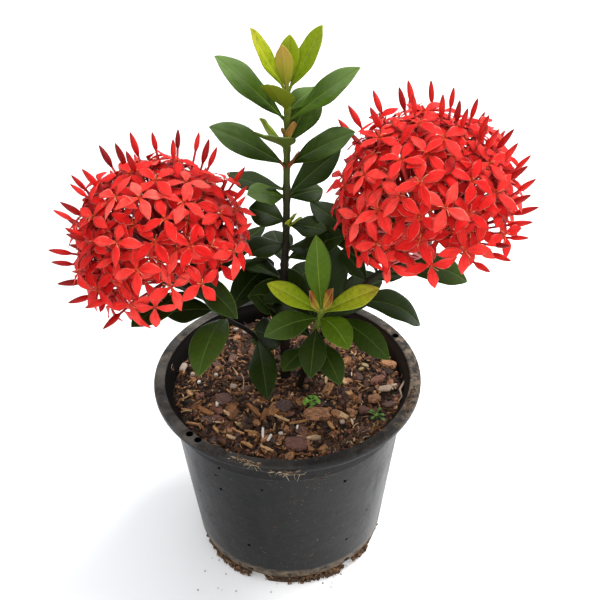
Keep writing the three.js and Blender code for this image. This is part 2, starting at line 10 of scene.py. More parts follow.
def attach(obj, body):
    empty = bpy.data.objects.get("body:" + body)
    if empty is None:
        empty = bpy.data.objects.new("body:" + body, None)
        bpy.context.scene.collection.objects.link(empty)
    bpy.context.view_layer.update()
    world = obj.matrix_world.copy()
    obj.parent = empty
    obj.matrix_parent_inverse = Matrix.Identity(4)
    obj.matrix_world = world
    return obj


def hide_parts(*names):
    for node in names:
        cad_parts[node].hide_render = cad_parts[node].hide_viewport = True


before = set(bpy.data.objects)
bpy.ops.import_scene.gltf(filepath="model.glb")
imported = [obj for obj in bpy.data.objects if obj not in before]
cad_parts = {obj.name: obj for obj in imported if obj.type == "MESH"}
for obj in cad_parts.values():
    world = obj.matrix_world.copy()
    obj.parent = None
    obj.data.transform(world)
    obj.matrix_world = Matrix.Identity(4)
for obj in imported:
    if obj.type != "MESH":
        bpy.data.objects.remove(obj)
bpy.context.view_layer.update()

# ---- Camera ----
# It stands in front of the plant and above it, tilted down, so that the pot's mouth and the whole
# surface of the potting mix show. Lengths are in millimetres here and in every section below.

VIEW = {
    "eye": (8.5, -442.0, 505.0), "down": 35.6, "roll": -0.63, "lens": 54.0, "sensor": 36.0,
    "width": 600,  # points across the camera's view, which is square and counted from its upper left
}
MM = 0.001

eye = Vector(VIEW["eye"])
look = (Matrix.Rotation(math.radians(90 - VIEW["down"]), 3, "X")
        @ Matrix.Rotation(math.radians(VIEW["roll"]), 3, "Z"))
camera = bpy.data.objects.new("camera", bpy.data.cameras.new("camera"))
camera.data.lens = VIEW["lens"]
camera.data.sensor_width = VIEW["sensor"]
camera.matrix_world = Matrix.Translation(eye * MM) @ look.to_4x4()
bpy.context.scene.collection.objects.link(camera)
bpy.context.scene.camera = camera


def sight(x, y):
    """The direction from the eye through a point of the camera's view."""
    half = VIEW["width"] / 2
    reach = VIEW["lens"] / VIEW["sensor"] * VIEW["width"]
    return (look @ Vector(((x - half) / reach, (half - y) / reach, -1))).normalized()


# ---- Pot ----
# A blow-moulded nursery pot of thin charcoal polyethylene: a tapered wall, a straight collar that spreads
# into a rolled lip, and a foot ring with notches and drain holes. It is scuffed, dusty and stained by soil.
# Shade inside its mouth and in its hanger holes, and a sheen on its lip, are painted into its colour.

POT = {
    "height": 133.0, "rim": 85.0, "lip": 4.2, "mouth": 77.7, "wall": 1.6, "collar_height": 112.0,
    "collar": 75.4, "inner_collar": 73.5, "throat": 74.9, "throat_height": 127.5, "step": 0.7,
    "base": 64.0, "foot": 62.0, "foot_height": 8.0, "foot_wall": 2.5, "floor": 2.0, "sides": 288,
    "centre": 10.0, "sharp": 38,  # the floor's innermost ring, and the least angle of a sharp edge
}
BENDS = {"flare": 4.8, "under_lip": 0.9, "lip_outside": 1.5, "lip_inside": 1.3}  # roundings of the lip
NOTCHES = {"count": 6, "first": 249.0, "half_width": 6.5, "height": 7.0}
DRAINS = {"beside": -3.0, "height": 11.5, "half_width": 2.2, "half_height": 1.4, "length": 7}
HANGERS = {"degrees": (26.0, 224.6, 229.8), "ring": 80.6, "radius": 2.2, "depth": 3.6}
PINHOLES = (  # place in the camera's view, and radius
    (346.5, 539, 1.025), (249, 545, 1.2), (219, 468, 1.2), (216, 475, 0.85), (262, 490, 0.85),
    (221, 489, 1.2), (200, 490, 0.85), (345, 481, 1.2),
)
PINHOLE = {"length": 4.4, "sides": 8}
WALL_SEARCH = {"nearest": 330, "farthest": 760, "step": 0.25, "missed": 600}  # along a sight line


def skin(loops):
    """Points and faces of one closed body whose cross-sections are these loops, in order."""
    loops = np.asarray(loops, float)
    rows, width = loops.shape[:2]
    here = np.arange(rows - 1)[:, None] * width + np.arange(width)
    onward = np.arange(rows - 1)[:, None] * width + (np.arange(width) + 1) % width
    sides = np.stack([here, onward, onward + width, here + width], axis=-1).reshape(-1, 4).tolist()
    ends = [list(range(width))[::-1], list(range((rows - 1) * width, rows * width))]
    return loops.reshape(-1, 3), sides + ends


class Growth:
    """The points and faces of a piece, with named values at each point for its material to read."""

    def __init__(self):
        self.points, self.faces, self.marks, self.count = [], [], [], 0

    def add(self, body, **marks):
        points, faces = body
        points = np.asarray(points, float)
        self.points.append(points)
        self.faces += [[self.count + corner for corner in face] for face in faces]
        self.marks.append({name: np.broadcast_to(value, len(points)) for name, value in marks.items()})
        self.count += len(points)

    def piece(self, name, material, slot, replaces=(), sharp=None):
        """The finished object, riding on the plant's one body, or lying loose on the table where it has
        no slot. Edges over sharp degrees stay sharp."""
        mesh = bpy.data.meshes.new(name)
        mesh.from_pydata((np.concatenate(self.points) * MM).tolist(), [], self.faces)
        for mark in self.marks[0]:
            values = np.concatenate([marks[mark] for marks in self.marks]).astype(np.float32)
            mesh.attributes.new(mark, "FLOAT", "POINT").data.foreach_set("value", values)
        work = bmesh.new()
        work.from_mesh(mesh)
        bmesh.ops.recalc_face_normals(work, faces=work.faces)
        work.to_mesh(mesh)
        work.free()
        mesh.shade_smooth()
        if sharp is not None:
            mesh.set_sharp_from_angle(angle=math.radians(sharp))
        mesh.materials.append(material)
        made = bpy.data.objects.new(name, mesh)
        bpy.context.scene.collection.objects.link(made)
        if slot is None:
            return made
        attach(made, "root")
        for node in replaces:
            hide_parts(node)
        return made


class Flow:
    """A value in a material. Arithmetic on it adds Math nodes."""

    def __init__(self, paint, socket):
        self.paint, self.socket = paint, socket

    def maths(self, operation, *values):
        return self.paint.node("ShaderNodeMath", {"operation": operation}, dict(enumerate(values)))

    def __add__(self, other):
        return self.maths("ADD", self, other)

    def __sub__(self, other):
        return self.maths("SUBTRACT", self, other)

    def __rsub__(self, other):
        return self.maths("SUBTRACT", other, self)

    def __mul__(self, other):
        return self.maths("MULTIPLY", self, other)

    def __truediv__(self, other):
        return self.maths("DIVIDE", self, other)

    def __pow__(self, other):
        return self.maths("POWER", self, other)

    def __abs__(self):
        return self.maths("ABSOLUTE", self)

    __radd__ = __add__
    __rmul__ = __mul__

    def up(self, low, high):
        """0 below low, 1 above high, and smooth between them."""
        settings = {"interpolation_type": "SMOOTHSTEP", "clamp": True}
        return self.paint.node("ShaderNodeMapRange", settings, {0: self, 1: low, 2: high, 3: 0.0, 4: 1.0})

    def wave(self):
        """A saw tooth that climbs from 0 to 1 with each whole step."""
        return self.maths("FRACT", self)


class Paint:
    """A material or a sky, made node by node in front of its closing shader."""

    def __init__(self, name, sky=None):
        self.material = sky or bpy.data.materials.new(name)
        self.material.use_nodes = True
        self.tree = self.material.node_tree
        self.shader = self.tree.nodes["Background" if sky else "Principled BSDF"]

    def feed(self, socket, value):
        """Links or sets a socket. A string is a colour's code."""
        if isinstance(value, Flow):
            self.tree.links.new(value.socket, socket)
        else:
            socket.default_value = tone(value) if isinstance(value, str) else value

    def node(self, kind, settings=(), inputs=(), output=0):
        """Any node, by its type: settings first, then values or links for its sockets."""
        made = self.tree.nodes.new(kind)
        for name, value in dict(settings).items():
            if name == "stops":
                while len(made.color_ramp.elements) < len(value):
                    made.color_ramp.elements.new(1.0)
                for stop, (position, code) in zip(made.color_ramp.elements, value):
                    stop.position, stop.color = position, tone(code)
            else:
                setattr(made, name, value)
        for key, value in dict(inputs).items():
            self.feed(made.inputs[key], value)
        return Flow(self, made.outputs[output])

    def place(self):
        return self.node("ShaderNodeTexCoord", output="Object")

    def mark(self, name):
        """A named value that the piece's points carry."""
        return self.node("ShaderNodeAttribute", {"attribute_name": name}, output="Fac")

    def grain(self, size, detail=2.0, roughness=0.5, where=None, warp=0.0):
        """Noise whose features are about size millimetres across."""
        inputs = {"Vector": where or self.place(), "Scale": 1 / (size * MM), "Detail": detail,
                  "Roughness": roughness, "Distortion": warp}
        return self.node("ShaderNodeTexNoise", {}, inputs)

    def mix(self, share, first, second):
        return self.node("ShaderNodeMix", {"data_type": "RGBA"}, {0: share, 6: first, 7: second}, output=2)

    def ramp(self, value, *stops):
        return self.node("ShaderNodeValToRGB", {"stops": stops}, {0: value})

    def relief(self, height, depth, under=None):
        """Surface relief: height from 0 to 1, depth in millimetres."""
        inputs = {"Height": height, "Distance": depth * MM, "Strength": 1.0}
        if under is not None:
            inputs["Normal"] = under
        return self.node("ShaderNodeBump", {}, inputs)

    def surface(self, **sockets):
        """Sets the shader's sockets, and gives the material back."""
        for name, value in sockets.items():
            self.feed(self.shader.inputs[name.replace("_", " ")], value)
        return self.material


def tone(code):
    """A colour as the eye sees it, written in six hexadecimal digits, as the shader needs it."""
    seen = [int(code[i:i + 2], 16) / 255 for i in (0, 2, 4)]
    return (*[c / 12.92 if c <= 0.04045 else ((c + 0.055) / 1.055) ** 2.4 for c in seen], 1.0)


def polar(radius, degrees, height):
    """A point at a radius and an angle round the pot's axis."""
    return Vector((radius * math.cos(math.radians(degrees)), radius * math.sin(math.radians(degrees)),
                   height))


def arc(radius, height, bend, start, end, steps=5):
    """Points of a rounded edge in the pot's profile, from one angle to another in degrees."""
    angles = np.radians(np.linspace(start, end, steps))
    return [(radius + bend * math.cos(a), height + bend * math.sin(a)) for a in angles]


def notch_height(degrees):
    """How high the foot ring is cut away at an angle round the pot."""
    step = 360 / NOTCHES["count"]
    off = abs((degrees - NOTCHES["first"] + step / 2) % step - step / 2)
    share = math.radians(off) * POT["foot"] / NOTCHES["half_width"]
    return NOTCHES["height"] * max(0.0, 1 - share ** 2) ** 0.3


def wall_radius(height):
    """Outside radius of the tapered wall."""
    share = (height - POT["foot_height"] - 1) / (POT["collar_height"] - POT["foot_height"] - 1)
    return POT["base"] + (POT["collar"] - POT["step"] - POT["base"]) * share


under_lip = POT["height"] - POT["lip"]
foot_levels = [0.5, 2.5, 4.5, 6.5]
pot_profile = [
    (POT["centre"], POT["foot_height"]),
    (POT["foot"] - POT["foot_wall"] - 8, POT["foot_height"]),
    (POT["foot"] - POT["foot_wall"], POT["foot_height"] - 0.2),
    *[(POT["foot"] - POT["foot_wall"], level) for level in reversed(foot_levels)],
    (POT["foot"] - POT["foot_wall"] + 0.4, 0.0),
    (POT["foot"] - 0.5, 0.0),
    *[(POT["foot"], level) for level in foot_levels],
    (POT["foot"] + 0.1, POT["foot_height"] - 0.3),
    (POT["base"] - 0.5, POT["foot_height"] + 0.2),
    *[(wall_radius(level), level) for level in (9.0, 10, 14, 22, 34, 48, 62, 76, 90, 102, 110.5)],
    (wall_radius(POT["collar_height"] - 0.8), POT["collar_height"] - 0.8),
    (wall_radius(POT["collar_height"] - 0.4), POT["collar_height"] - 0.4),
    (POT["collar"] - POT["step"] + 0.15, POT["collar_height"] - 0.2),
    (POT["collar"], POT["collar_height"] + 0.4),
    (POT["collar"] + 0.02, POT["collar_height"] + 0.8),
    (POT["collar"] + 0.2, POT["collar_height"] + 6),
    *arc(POT["collar"] + 5.4, under_lip - BENDS["flare"], BENDS["flare"], 176, 90, 6),
    *arc(POT["rim"] - BENDS["under_lip"], under_lip + BENDS["under_lip"], BENDS["under_lip"], -90, 0, 4),
    *arc(POT["rim"] - BENDS["lip_outside"], POT["height"] - BENDS["lip_outside"], BENDS["lip_outside"], 0,
         90, 6),
    *arc(POT["mouth"] + BENDS["lip_inside"], POT["height"] - BENDS["lip_inside"], BENDS["lip_inside"], 90,
         180, 5),
    (POT["mouth"] - 0.7, POT["height"] - 2.4),
    (POT["throat"] + 0.9, POT["throat_height"] + 1.1),
    (POT["throat"], POT["throat_height"]),
    (POT["throat"] - 0.3, 124.0),
    (POT["inner_collar"], POT["collar_height"]),
    (POT["base"] - POT["wall"], POT["foot_height"] + POT["floor"]),
    (POT["centre"], POT["foot_height"] + POT["floor"]),
]
around = np.arange(POT["sides"]) * 360 / POT["sides"]
pot_loops = []
for radius, level in pot_profile:
    ring = []
    for degrees in around:
        left = 1 - notch_height(degrees) / POT["foot_height"]
        depth = POT["foot_height"] - level
        lifted = POT["foot_height"] - depth * left if depth > 0 else level
        ring.append(polar(radius, degrees, lifted))
    pot_loops.append(ring)
pot_growth = Growth()
pot_growth.add(skin(pot_loops))

charcoal = Paint("charcoal_polyethylene")
x, y, z = [charcoal.node("ShaderNodeSeparateXYZ", {}, {0: charcoal.place()}, output=axis)
           for axis in range(3)]
height = z / MM
cloud = charcoal.grain(26, 3, 0.6)
fine = charcoal.grain(1.1, 3, 0.6)
specks = charcoal.grain(2.4, 2, 0.7)
dust = cloud.up(0.42, 0.72) * fine.up(0.3, 0.75)
pale_specks = specks.up(0.66, 0.72) * cloud.up(0.4, 0.6)
flecks = charcoal.grain(1.3, 2, 0.6).up(0.71, 0.75)
scuffs = charcoal.grain(34, 4, 0.75, warp=2.5)
scratch = 1 - abs(scuffs - 0.5).up(0.0, 0.012)
foot_soil = 1 - (height + 7 * charcoal.grain(6, 3) - 3).up(8.0, 14.5)
foot_soil = foot_soil * charcoal.grain(3.2, 4, 0.65).up(0.25, 0.55)
tide_line = 1 - abs(height - 10.8 - 3.4 * charcoal.grain(14, 2)).up(1.4, 5.2)
tide_line = tide_line * charcoal.grain(5, 4, 0.7).up(0.3, 0.66)
down_it = charcoal.node("ShaderNodeCombineXYZ", {}, {0: x, 1: y, 2: z * 0.14})
smears = charcoal.grain(8, 4, 0.6, down_it).up(0.48, 0.74)
reach = (x * x + y * y) ** 0.5 / MM
# inside marks the pot's inner wall, where the colour below is painted dark as shade
inside = 1 - (reach - (height - 112) * 0.09 - height.up(127, 132) * 2).up(74.0, 74.25)
inside = inside * height.up(100, 105)
on_lip = height.up(131.0, 132.6)
# Grey dust patches and a painted sheen on the lip's top, stronger toward the left.
lip_dust_and_sheen = on_lip * charcoal.grain(22, 4, 0.6).up(0.35, 0.7) * (1 + (0 - x / MM).up(15, 70) * 2.2)
browned = on_lip * (abs(x) / MM).up(20, 70) * charcoal.grain(5, 4, 0.7).up(0.45, 0.75)
right_dirt = height.up(128.9, 130.5) * (x / MM).up(50, 80) * (y / MM + 60).up(0, 20)
right_dirt = right_dirt * charcoal.grain(4, 4, 0.7).up(0.4, 0.7)
# A paler line painted along the collar's step.
step_line = (1 - abs(height - 111.7).up(0.15, 0.8)) * charcoal.grain(8, 3).up(0.4, 0.62)
colour = charcoal.mix(dust * 0.5, "0b0b0c", "1c1b1b")
colour = charcoal.mix(smears * 0.3, colour, "2c2927")
colour = charcoal.mix(scratch * 0.08 + step_line * 0.25 + flecks * 0.4, colour, "6d6257")
colour = charcoal.mix(pale_specks * 0.35, colour, "756b61")
# Dust and painted sheen: the lip's top is painted lighter, as if lit from above.
colour = charcoal.mix(lip_dust_and_sheen * 0.18 + on_lip * 0.05, colour, "67635e")
colour = charcoal.mix(browned * 0.5, colour, "75644f")
colour = charcoal.mix(right_dirt * 0.65, colour, "96836f")
# Painted shade: the inner wall is darkened as if in shadow, painted less dark and browner toward the right.
colour = charcoal.mix(inside * 0.96, colour, "0d0907")
colour = charcoal.mix(inside * (x / MM).up(20, 70) * 0.6, colour, "2b1f17")
colour = charcoal.mix(foot_soil * 0.8, colour, "483627")
colour = charcoal.mix(tide_line * 0.68, colour, "7e6d58")
# Painted shade: the hanger holes are painted near black, as their insides in shadow.
for degrees in HANGERS["degrees"]:
    hole = polar(HANGERS["ring"] * MM, degrees, 0)
    off = ((x - hole.x) ** 2 + (y - hole.y) ** 2) ** 0.5 / MM
    colour = charcoal.mix(1 - off.up(HANGERS["radius"], HANGERS["radius"] + 0.12), colour, "030303")
dirt = foot_soil.maths("MAXIMUM", foot_soil, right_dirt)
shaded = height.up(111.5, 112.5) * (1 - height.up(127, 129))
bumps = charcoal.relief(fine, 0.035, charcoal.relief(cloud, 0.5, charcoal.relief(dirt * specks, 0.5)))
dull = 0.26 + dust * 0.14 + fine * 0.1 + smears * 0.12 + dirt * 0.45 + inside * 0.6 + shaded * 0.15
charcoal_plastic = charcoal.surface(Base_Color=colour, Roughness=dull, Normal=bumps, Specular_IOR_Level=0.13)

pot = pot_growth.piece("nursery_pot", charcoal_plastic, "pot", ["pot"], sharp=POT["sharp"])


def barrel(centre, along, width, length, sides=12, flat=1.0):
    """A round or oval plug that a hole is cut with."""
    axis = Vector(along).normalized()
    level = Vector((0, 0, 1)).cross(axis)
    level = level.normalized() if level.length > 0.1 else Vector((1, 0, 0))
    upright = axis.cross(level)
    loops = []
    for end in (-0.5, 0.5):
        middle = Vector(centre) + axis * length * end
        turns = [2 * math.pi * k / sides for k in range(sides)]
        loops.append([middle + level * width * math.cos(t) + upright * width * flat * math.sin(t)
                      for t in turns])
    return skin(loops)


def on_wall(x, y):
    """Where a sight line meets the outside of the pot's wall, collar or foot."""
    direction = sight(x, y)
    for step in np.arange(WALL_SEARCH["nearest"], WALL_SEARCH["farthest"], WALL_SEARCH["step"]):
        spot = eye + direction * step
        radius = math.hypot(spot.x, spot.y)
        outside = wall_radius(spot.z) if spot.z < POT["collar_height"] else POT["collar"]
        outside = POT["rim"] if spot.z > under_lip else outside
        outside = POT["foot"] if spot.z < POT["foot_height"] else outside
        if spot.z < POT["height"] and radius < outside:
            return spot
    return eye + direction * WALL_SEARCH["missed"]


plugs = Growth()
for i in range(NOTCHES["count"]):
    degrees = NOTCHES["first"] + DRAINS["beside"] + i * 360 / NOTCHES["count"]
    outward = polar(1, degrees, 0)
    middle = polar(POT["base"] - 1, degrees, DRAINS["height"])
    flat = DRAINS["half_height"] / DRAINS["half_width"]
    plugs.add(barrel(middle, outward, DRAINS["half_width"], DRAINS["length"], flat=flat))
for degrees in HANGERS["degrees"]:
    top = polar(HANGERS["ring"], degrees, POT["height"])
    plugs.add(barrel(top, (0, 0, 1), HANGERS["radius"], 2 * HANGERS["depth"]))
for px, py, radius in PINHOLES:
    spot = on_wall(px, py)
    plugs.add(barrel(spot, (spot.x, spot.y, 0), radius, PINHOLE["length"], PINHOLE["sides"]))
cutter = plugs.piece("plugs", charcoal_plastic, "pot")
cut = pot.modifiers.new("holes", "BOOLEAN")
cut.operation = "DIFFERENCE"
cut.object = cutter
cut.solver = "EXACT"
bpy.context.view_layer.objects.active = pot
bpy.ops.object.modifier_apply(modifier=cut.name)
bpy.data.objects.remove(cutter)
pot.data.set_sharp_from_angle(angle=math.radians(POT["sharp"]))

# ---- Potting mix ----
# Composted bark, wood fibre and a little perlite, filled to a finger's breadth under the lip. The bed is
# one body; the chips, slivers, grains and fibres lie on it at all angles, half sunk.

MIX = {
    "level": 120.6, "swell": 0.9, "long_wave": 0.12, "short_wave": 0.3, "radius": 74.3, "bottom": 10.3,
    "collar_radius": 73.2, "collar_level": 112.0, "rings": 62,
}
LUMPS = ((9, 0, 1.1), (3.2, 7, 0.8), (1.3, 3, 0.35))  # width, layer of the noise, and height
SCATTER = {  # how many, and how far out from the pot's axis
    "small_chips": (1600, 72), "large_chips": (95, 69.5), "slivers": (2100, 72.5), "crumbs": (2100, 72.5),
    "perlite": (60, 70), "fibres": (170, 72),
}


def mix_height(x, y):
    """The level of the mix, in gentle waves."""
    long = math.sin(MIX["long_wave"] * x + 1.3) * math.cos(MIX["long_wave"] * y - 0.4)
    short = 0.45 * math.sin(MIX["short_wave"] * (x - y))
    return MIX["level"] + MIX["swell"] * (long + short)


def bed_height(x, y):
    """The bed's surface, with the lumps and hollows between the chips."""
    rough = sum(noise.noise(Vector((x, y, layer)) / width) * height for width, layer, height in LUMPS)
    edge = max(0.0, math.hypot(x, y) - 66) / 8
    return mix_height(x, y) - 0.6 + rough - 0.8 * edge


bed_radii = [MIX["radius"] * math.sin(math.pi / 2 * share) for share in np.linspace(1, 0.02, MIX["rings"])]
bed_turns = np.radians(np.arange(0, 360, 2))
bed_loops = []
for radius, level in ((POT["base"] - POT["wall"] - 1, MIX["bottom"]),
                      (MIX["collar_radius"], MIX["collar_level"])):
    bed_loops.append([Vector((radius * math.cos(a), radius * math.sin(a), level)) for a in bed_turns])
for radius in bed_radii:
    ring = [(radius * math.cos(a), radius * math.sin(a)) for a in bed_turns]
    bed_loops.append([Vector((px, py, bed_height(px, py))) for px, py in ring])
bed = Growth()
bed.add(skin(bed_loops))

humus = Paint("composted_bark_soil")
lumps, crumbs, dots = humus.grain(4.5, 4, 0.6), humus.grain(1.2, 4, 0.7), humus.grain(0.6, 2)
colour = humus.ramp(lumps, (0.3, "0f0803"), (0.48, "28170b"), (0.62, "4e301a"), (0.75, "7c5433"))
colour = humus.mix(crumbs.up(0.42, 0.66), colour, "1a0f07")
colour = humus.mix(dots.up(0.68, 0.75) * 0.6, colour, "8f6d4a")
humus_soil = humus.surface(
    Base_Color=colour, Roughness=0.9, Normal=humus.relief(crumbs, 0.9, humus.relief(lumps, 1.2)))
bed.piece("soil_bed", humus_soil, "soil", ["potting_mix"])

draw = np.random.default_rng(41)


def turned_by(roll, pitch, yaw):
    return np.array(Matrix.Rotation(yaw, 3, "Z") @ Matrix.Rotation(pitch, 3, "Y")
                    @ Matrix.Rotation(roll, 3, "X"))


def chip(length, width, thickness, corners=7, ragged=0.16):
    """A flat splinter of bark, its outline broken and its upper edge worn."""
    angles = np.sort(np.linspace(0, 2 * np.pi, corners, endpoint=False) + draw.uniform(-0.3, 0.3, corners))
    reach = 1 + draw.uniform(-ragged, ragged, corners)
    squared = np.maximum(abs(np.cos(angles)), abs(np.sin(angles))) ** -0.6
    outline = np.stack([length / 2 * reach * squared * np.cos(angles),
                        width / 2 * reach * squared * np.sin(angles)], 1)
    levels = ((-0.5, 0.82), (-0.3, 1.0), (0.25, 1.0), (0.5, 0.8))
    loops = [np.column_stack([outline * spread,
                              thickness * level + draw.uniform(-0.08, 0.08, corners) * thickness])
             for level, spread in levels]
    return skin(loops)


def laid(body, x, y, lift, tilt, yaw=None):
    """A loose bit put down on the mix, leaning as it fell."""
    points, faces = body
    yaw = draw.uniform(0, 2 * math.pi) if yaw is None else yaw
    spin = turned_by(draw.normal(0, tilt), draw.normal(0, tilt), yaw)
    return points @ spin.T + np.array((x, y, mix_height(x, y) + lift)), faces


def scattered(count, reach):
    """Places spread evenly at random over the open mouth of the pot."""
    radii = reach * np.sqrt(draw.uniform(0, 1, count))
    turns = draw.uniform(0, 2 * np.pi, count)
    return zip(radii * np.cos(turns), radii * np.sin(turns))


def on_mix(x, y, level=MIX["level"]):
    """Where a sight line meets the surface of the mix, or another level."""
    direction = sight(x, y)
    spot = eye + direction * ((level - eye.z) / direction.z)
    return spot.x, spot.y


STEM_FEET = ((-4, 9), (-16, 4), (9, 8), (5, -4))  # the scattered large chips keep clear of these

bark = Growth()


def drop(growth, body, shade, *where):
    """Lays a bit of bark or wood down. Its points keep their own coordinates, for its grain to follow."""
    growth.add(laid(body, *where), shade=shade, long=body[0][:, 0], wide=body[0][:, 1])


for px, py in scattered(*SCATTER["small_chips"]):
    size = 1.8 + 5.2 * draw.uniform() ** 2.4
    body = chip(size, size * draw.uniform(0.35, 0.8), draw.uniform(0.7, 1.7))
    drop(bark, body, draw.uniform(), px, py, draw.uniform(-0.4, 1.1), 0.36)
for px, py in scattered(*SCATTER["large_chips"]):
    if min(math.hypot(px - fx, py - fy) for fx, fy in STEM_FEET) < 8:
        continue
    size = draw.uniform(7, 11)
    body = chip(size, size * draw.uniform(0.4, 0.7), draw.uniform(1.4, 2.4), 9)
    drop(bark, body, draw.uniform(), px, py, draw.uniform(0.2, 1.3), 0.24)
BIG_CHIPS = (  # place in the camera's view, length, width, thickness, yaw and shade
    (297, 446.5, 13.5, 12.5, 3.2, 0.1, 0.85), (317, 417, 16.5, 9.0, 4.4, 0.1, 0.68),
    (388, 367.5, 11.5, 6.4, 3.5, -0.3, 0.63), (284, 407, 11.5, 10.0, 2.2, 0.9, 0.97),
    (224, 401, 10.5, 9.5, 2.4, 0.6, 0.9), (377, 383, 12.0, 5.5, 3.0, 0.5, 0.8),
    (374, 401, 8.5, 7.5, 3.0, 0.2, 0.7), (234, 417, 9.5, 5.5, 2.0, 1.2, 0.45),
    (364, 412, 7.0, 6.0, 2.6, 0.4, 0.86),
    (337, 417, 8.0, 4.5, 2.4, -0.6, 0.62), (272, 411, 12.0, 4.5, 1.6, 1.15, 0.55),
)
for px, py, length, width, thickness, yaw, shade in BIG_CHIPS:
    drop(bark, chip(length, width, thickness, 11, 0.09), shade, *on_mix(px, py), 2.4, 0.1, yaw)

pine = Paint("pine_bark")
shade = pine.mark("shade")
grainy = pine.grain(1.6, 4, 0.65, warp=1.0)
along_it = pine.node("ShaderNodeCombineXYZ", {},
                     {0: pine.mark("long") * 0.3, 1: pine.mark("wide") * 1.7, 2: shade * 60})
grooves = pine.node("ShaderNodeTexNoise", {},
                    {"Vector": along_it, "Scale": 1.0, "Detail": 4.0, "Roughness": 0.65})
colour = pine.ramp(
    shade, (0.0, "160b05"), (0.2, "3b200c"), (0.42, "6b3f1f"), (0.56, "a87344"),
    (0.66, "c58c62"), (0.76, "8f5942"), (0.88, "77534a"), (1.0, "463634"))
colour = pine.mix(grooves.up(0.42, 0.62) * 0.75, colour, "241309")
colour = pine.mix(grainy.up(0.52, 0.7) * 0.55, colour, "140a04")
colour = pine.mix(pine.grain(0.5, 2).up(0.6, 0.72) * 0.5, colour, "b99470")
pine_bark = pine.surface(
    Base_Color=colour, Roughness=0.86, Normal=pine.relief(grainy, 0.5, pine.relief(grooves, 0.6)))
bark.piece("bark_chips", pine_bark, "soil", ["potting_mix"], sharp=28)


def sliver(length, width, thickness):
    """A torn strip of wood fibre, pointed at its ends and a little bent."""
    bend = draw.normal(0, 0.035) * length
    loops = []
    for share in (0, 0.12, 0.5, 0.85, 1):
        wide = width / 2 * (0.25 + 0.75 * math.sin(math.pi * min(max(share, 0.08), 0.92)) ** 0.5)
        middle = (length * (share - 0.5), bend * 4 * share * (1 - share))
        corners = ((-1, -1), (1, -1), (1, 1), (-1, 1))
        loops.append([(middle[0], middle[1] + wide * a, thickness / 2 * b) for a, b in corners])
    return skin(loops)


wood = Growth()
for px, py in scattered(*SCATTER["slivers"]):
    length = 1.8 + 6.0 * draw.uniform() ** 2.4
    body = sliver(length, draw.uniform(0.35, 1.3), draw.uniform(0.3, 0.7))
    drop(wood, body, draw.uniform() ** 1.7, px, py, draw.uniform(0.1, 1.9), 0.3)
BIG_SLIVERS = (  # place in the camera's view, length, width, yaw and shade
    (254, 414, 15.0, 2.8, -1.0, 0.55), (282, 421, 10.0, 1.6, -0.45, 0.92), (299, 425, 12.0, 1.2, 0.3, 0.7),
    (193, 427, 9.0, 1.7, -0.35, 0.84), (216, 433, 7.0, 1.6, -1.1, 0.8), (231, 439, 6.5, 2.2, -0.6, 0.97),
    (228, 417, 8.5, 1.8, -0.9, 0.93), (238, 433, 9.0, 1.0, -0.5, 0.85), (251, 434, 8.0, 1.0, -0.3, 0.8),
    (247, 447, 9.0, 2.2, -0.7, 0.75), (267, 452, 9.0, 1.8, -0.5, 0.9), (275, 412, 12.0, 4.4, 1.1, 0.6),
    (264, 417, 10.0, 3.0, 1.3, 0.5), (232, 414, 9.5, 5.4, 1.35, 0.55), (206, 412, 13.0, 3.6, -0.7, 0.55),
    (300, 382, 10.0, 1.6, 1.5, 0.7), (343, 382, 9.0, 3.2, -1.2, 0.93), (326, 382, 6.5, 2.0, 1.5, 0.98),
    (348, 395, 7.5, 4.0, -1.1, 0.85), (187, 413, 7.0, 1.0, -0.2, 0.8), (341, 418, 10.0, 3.6, -0.7, 0.95),
    (331, 428, 7.0, 2.2, -1.1, 0.85), (313, 441, 7.5, 2.4, 0.1, 0.98), (190, 396, 5.5, 2.8, -0.9, 0.88),
)
for px, py, length, width, yaw, shade in BIG_SLIVERS:
    drop(wood, sliver(length, width, 1.1), shade, *on_mix(px, py), 2.6, 0.08, yaw)

fibre = Paint("wood_fibre")
shade = fibre.mark("shade")
colour = fibre.ramp(
    shade, (0.0, "241208"), (0.35, "5f361b"), (0.6, "9f6836"), (0.85, "c8945f"),
    (1.0, "dfbd92"))
streaks = fibre.grain(0.9, 4, 0.7)
along_it = fibre.node("ShaderNodeCombineXYZ", {},
                      {0: fibre.mark("long") * 0.25, 1: fibre.mark("wide") * 2.6, 2: shade * 60})
strands_in_it = fibre.node("ShaderNodeTexNoise", {}, {"Vector": along_it, "Scale": 1.0, "Detail": 3.0})
colour = fibre.mix(strands_in_it.up(0.45, 0.65) * 0.55, colour, "3f2412")
colour = fibre.mix(streaks.up(0.45, 0.72) * 0.5, colour, "3a2111")
wood_fibre = fibre.surface(Base_Color=colour, Roughness=0.82, Normal=fibre.relief(streaks, 0.3))
wood.piece("wood_slivers", wood_fibre, "soil", ["potting_mix"], sharp=30)


def pebble(size, flat=0.8, ragged=0.22):
    """A small lump: a ball of three rings, dented and squashed."""
    stretch = np.array((1, draw.uniform(0.7, 1), flat)) * size / 2
    loops = []
    for up, wide in ((-0.93, 0.36), (-0.5, 0.87), (0.0, 1.0), (0.5, 0.87), (0.93, 0.36)):
        angles = np.arange(6) * np.pi / 3 + (0.5 if up in (-0.5, 0.5) else 0)
        rough = 1 + draw.uniform(-ragged, ragged, 6)
        ring = [wide * rough * np.cos(angles), wide * rough * np.sin(angles), np.full(6, up)]
        loops.append(np.stack(ring, 1) * stretch)
    return skin(loops)


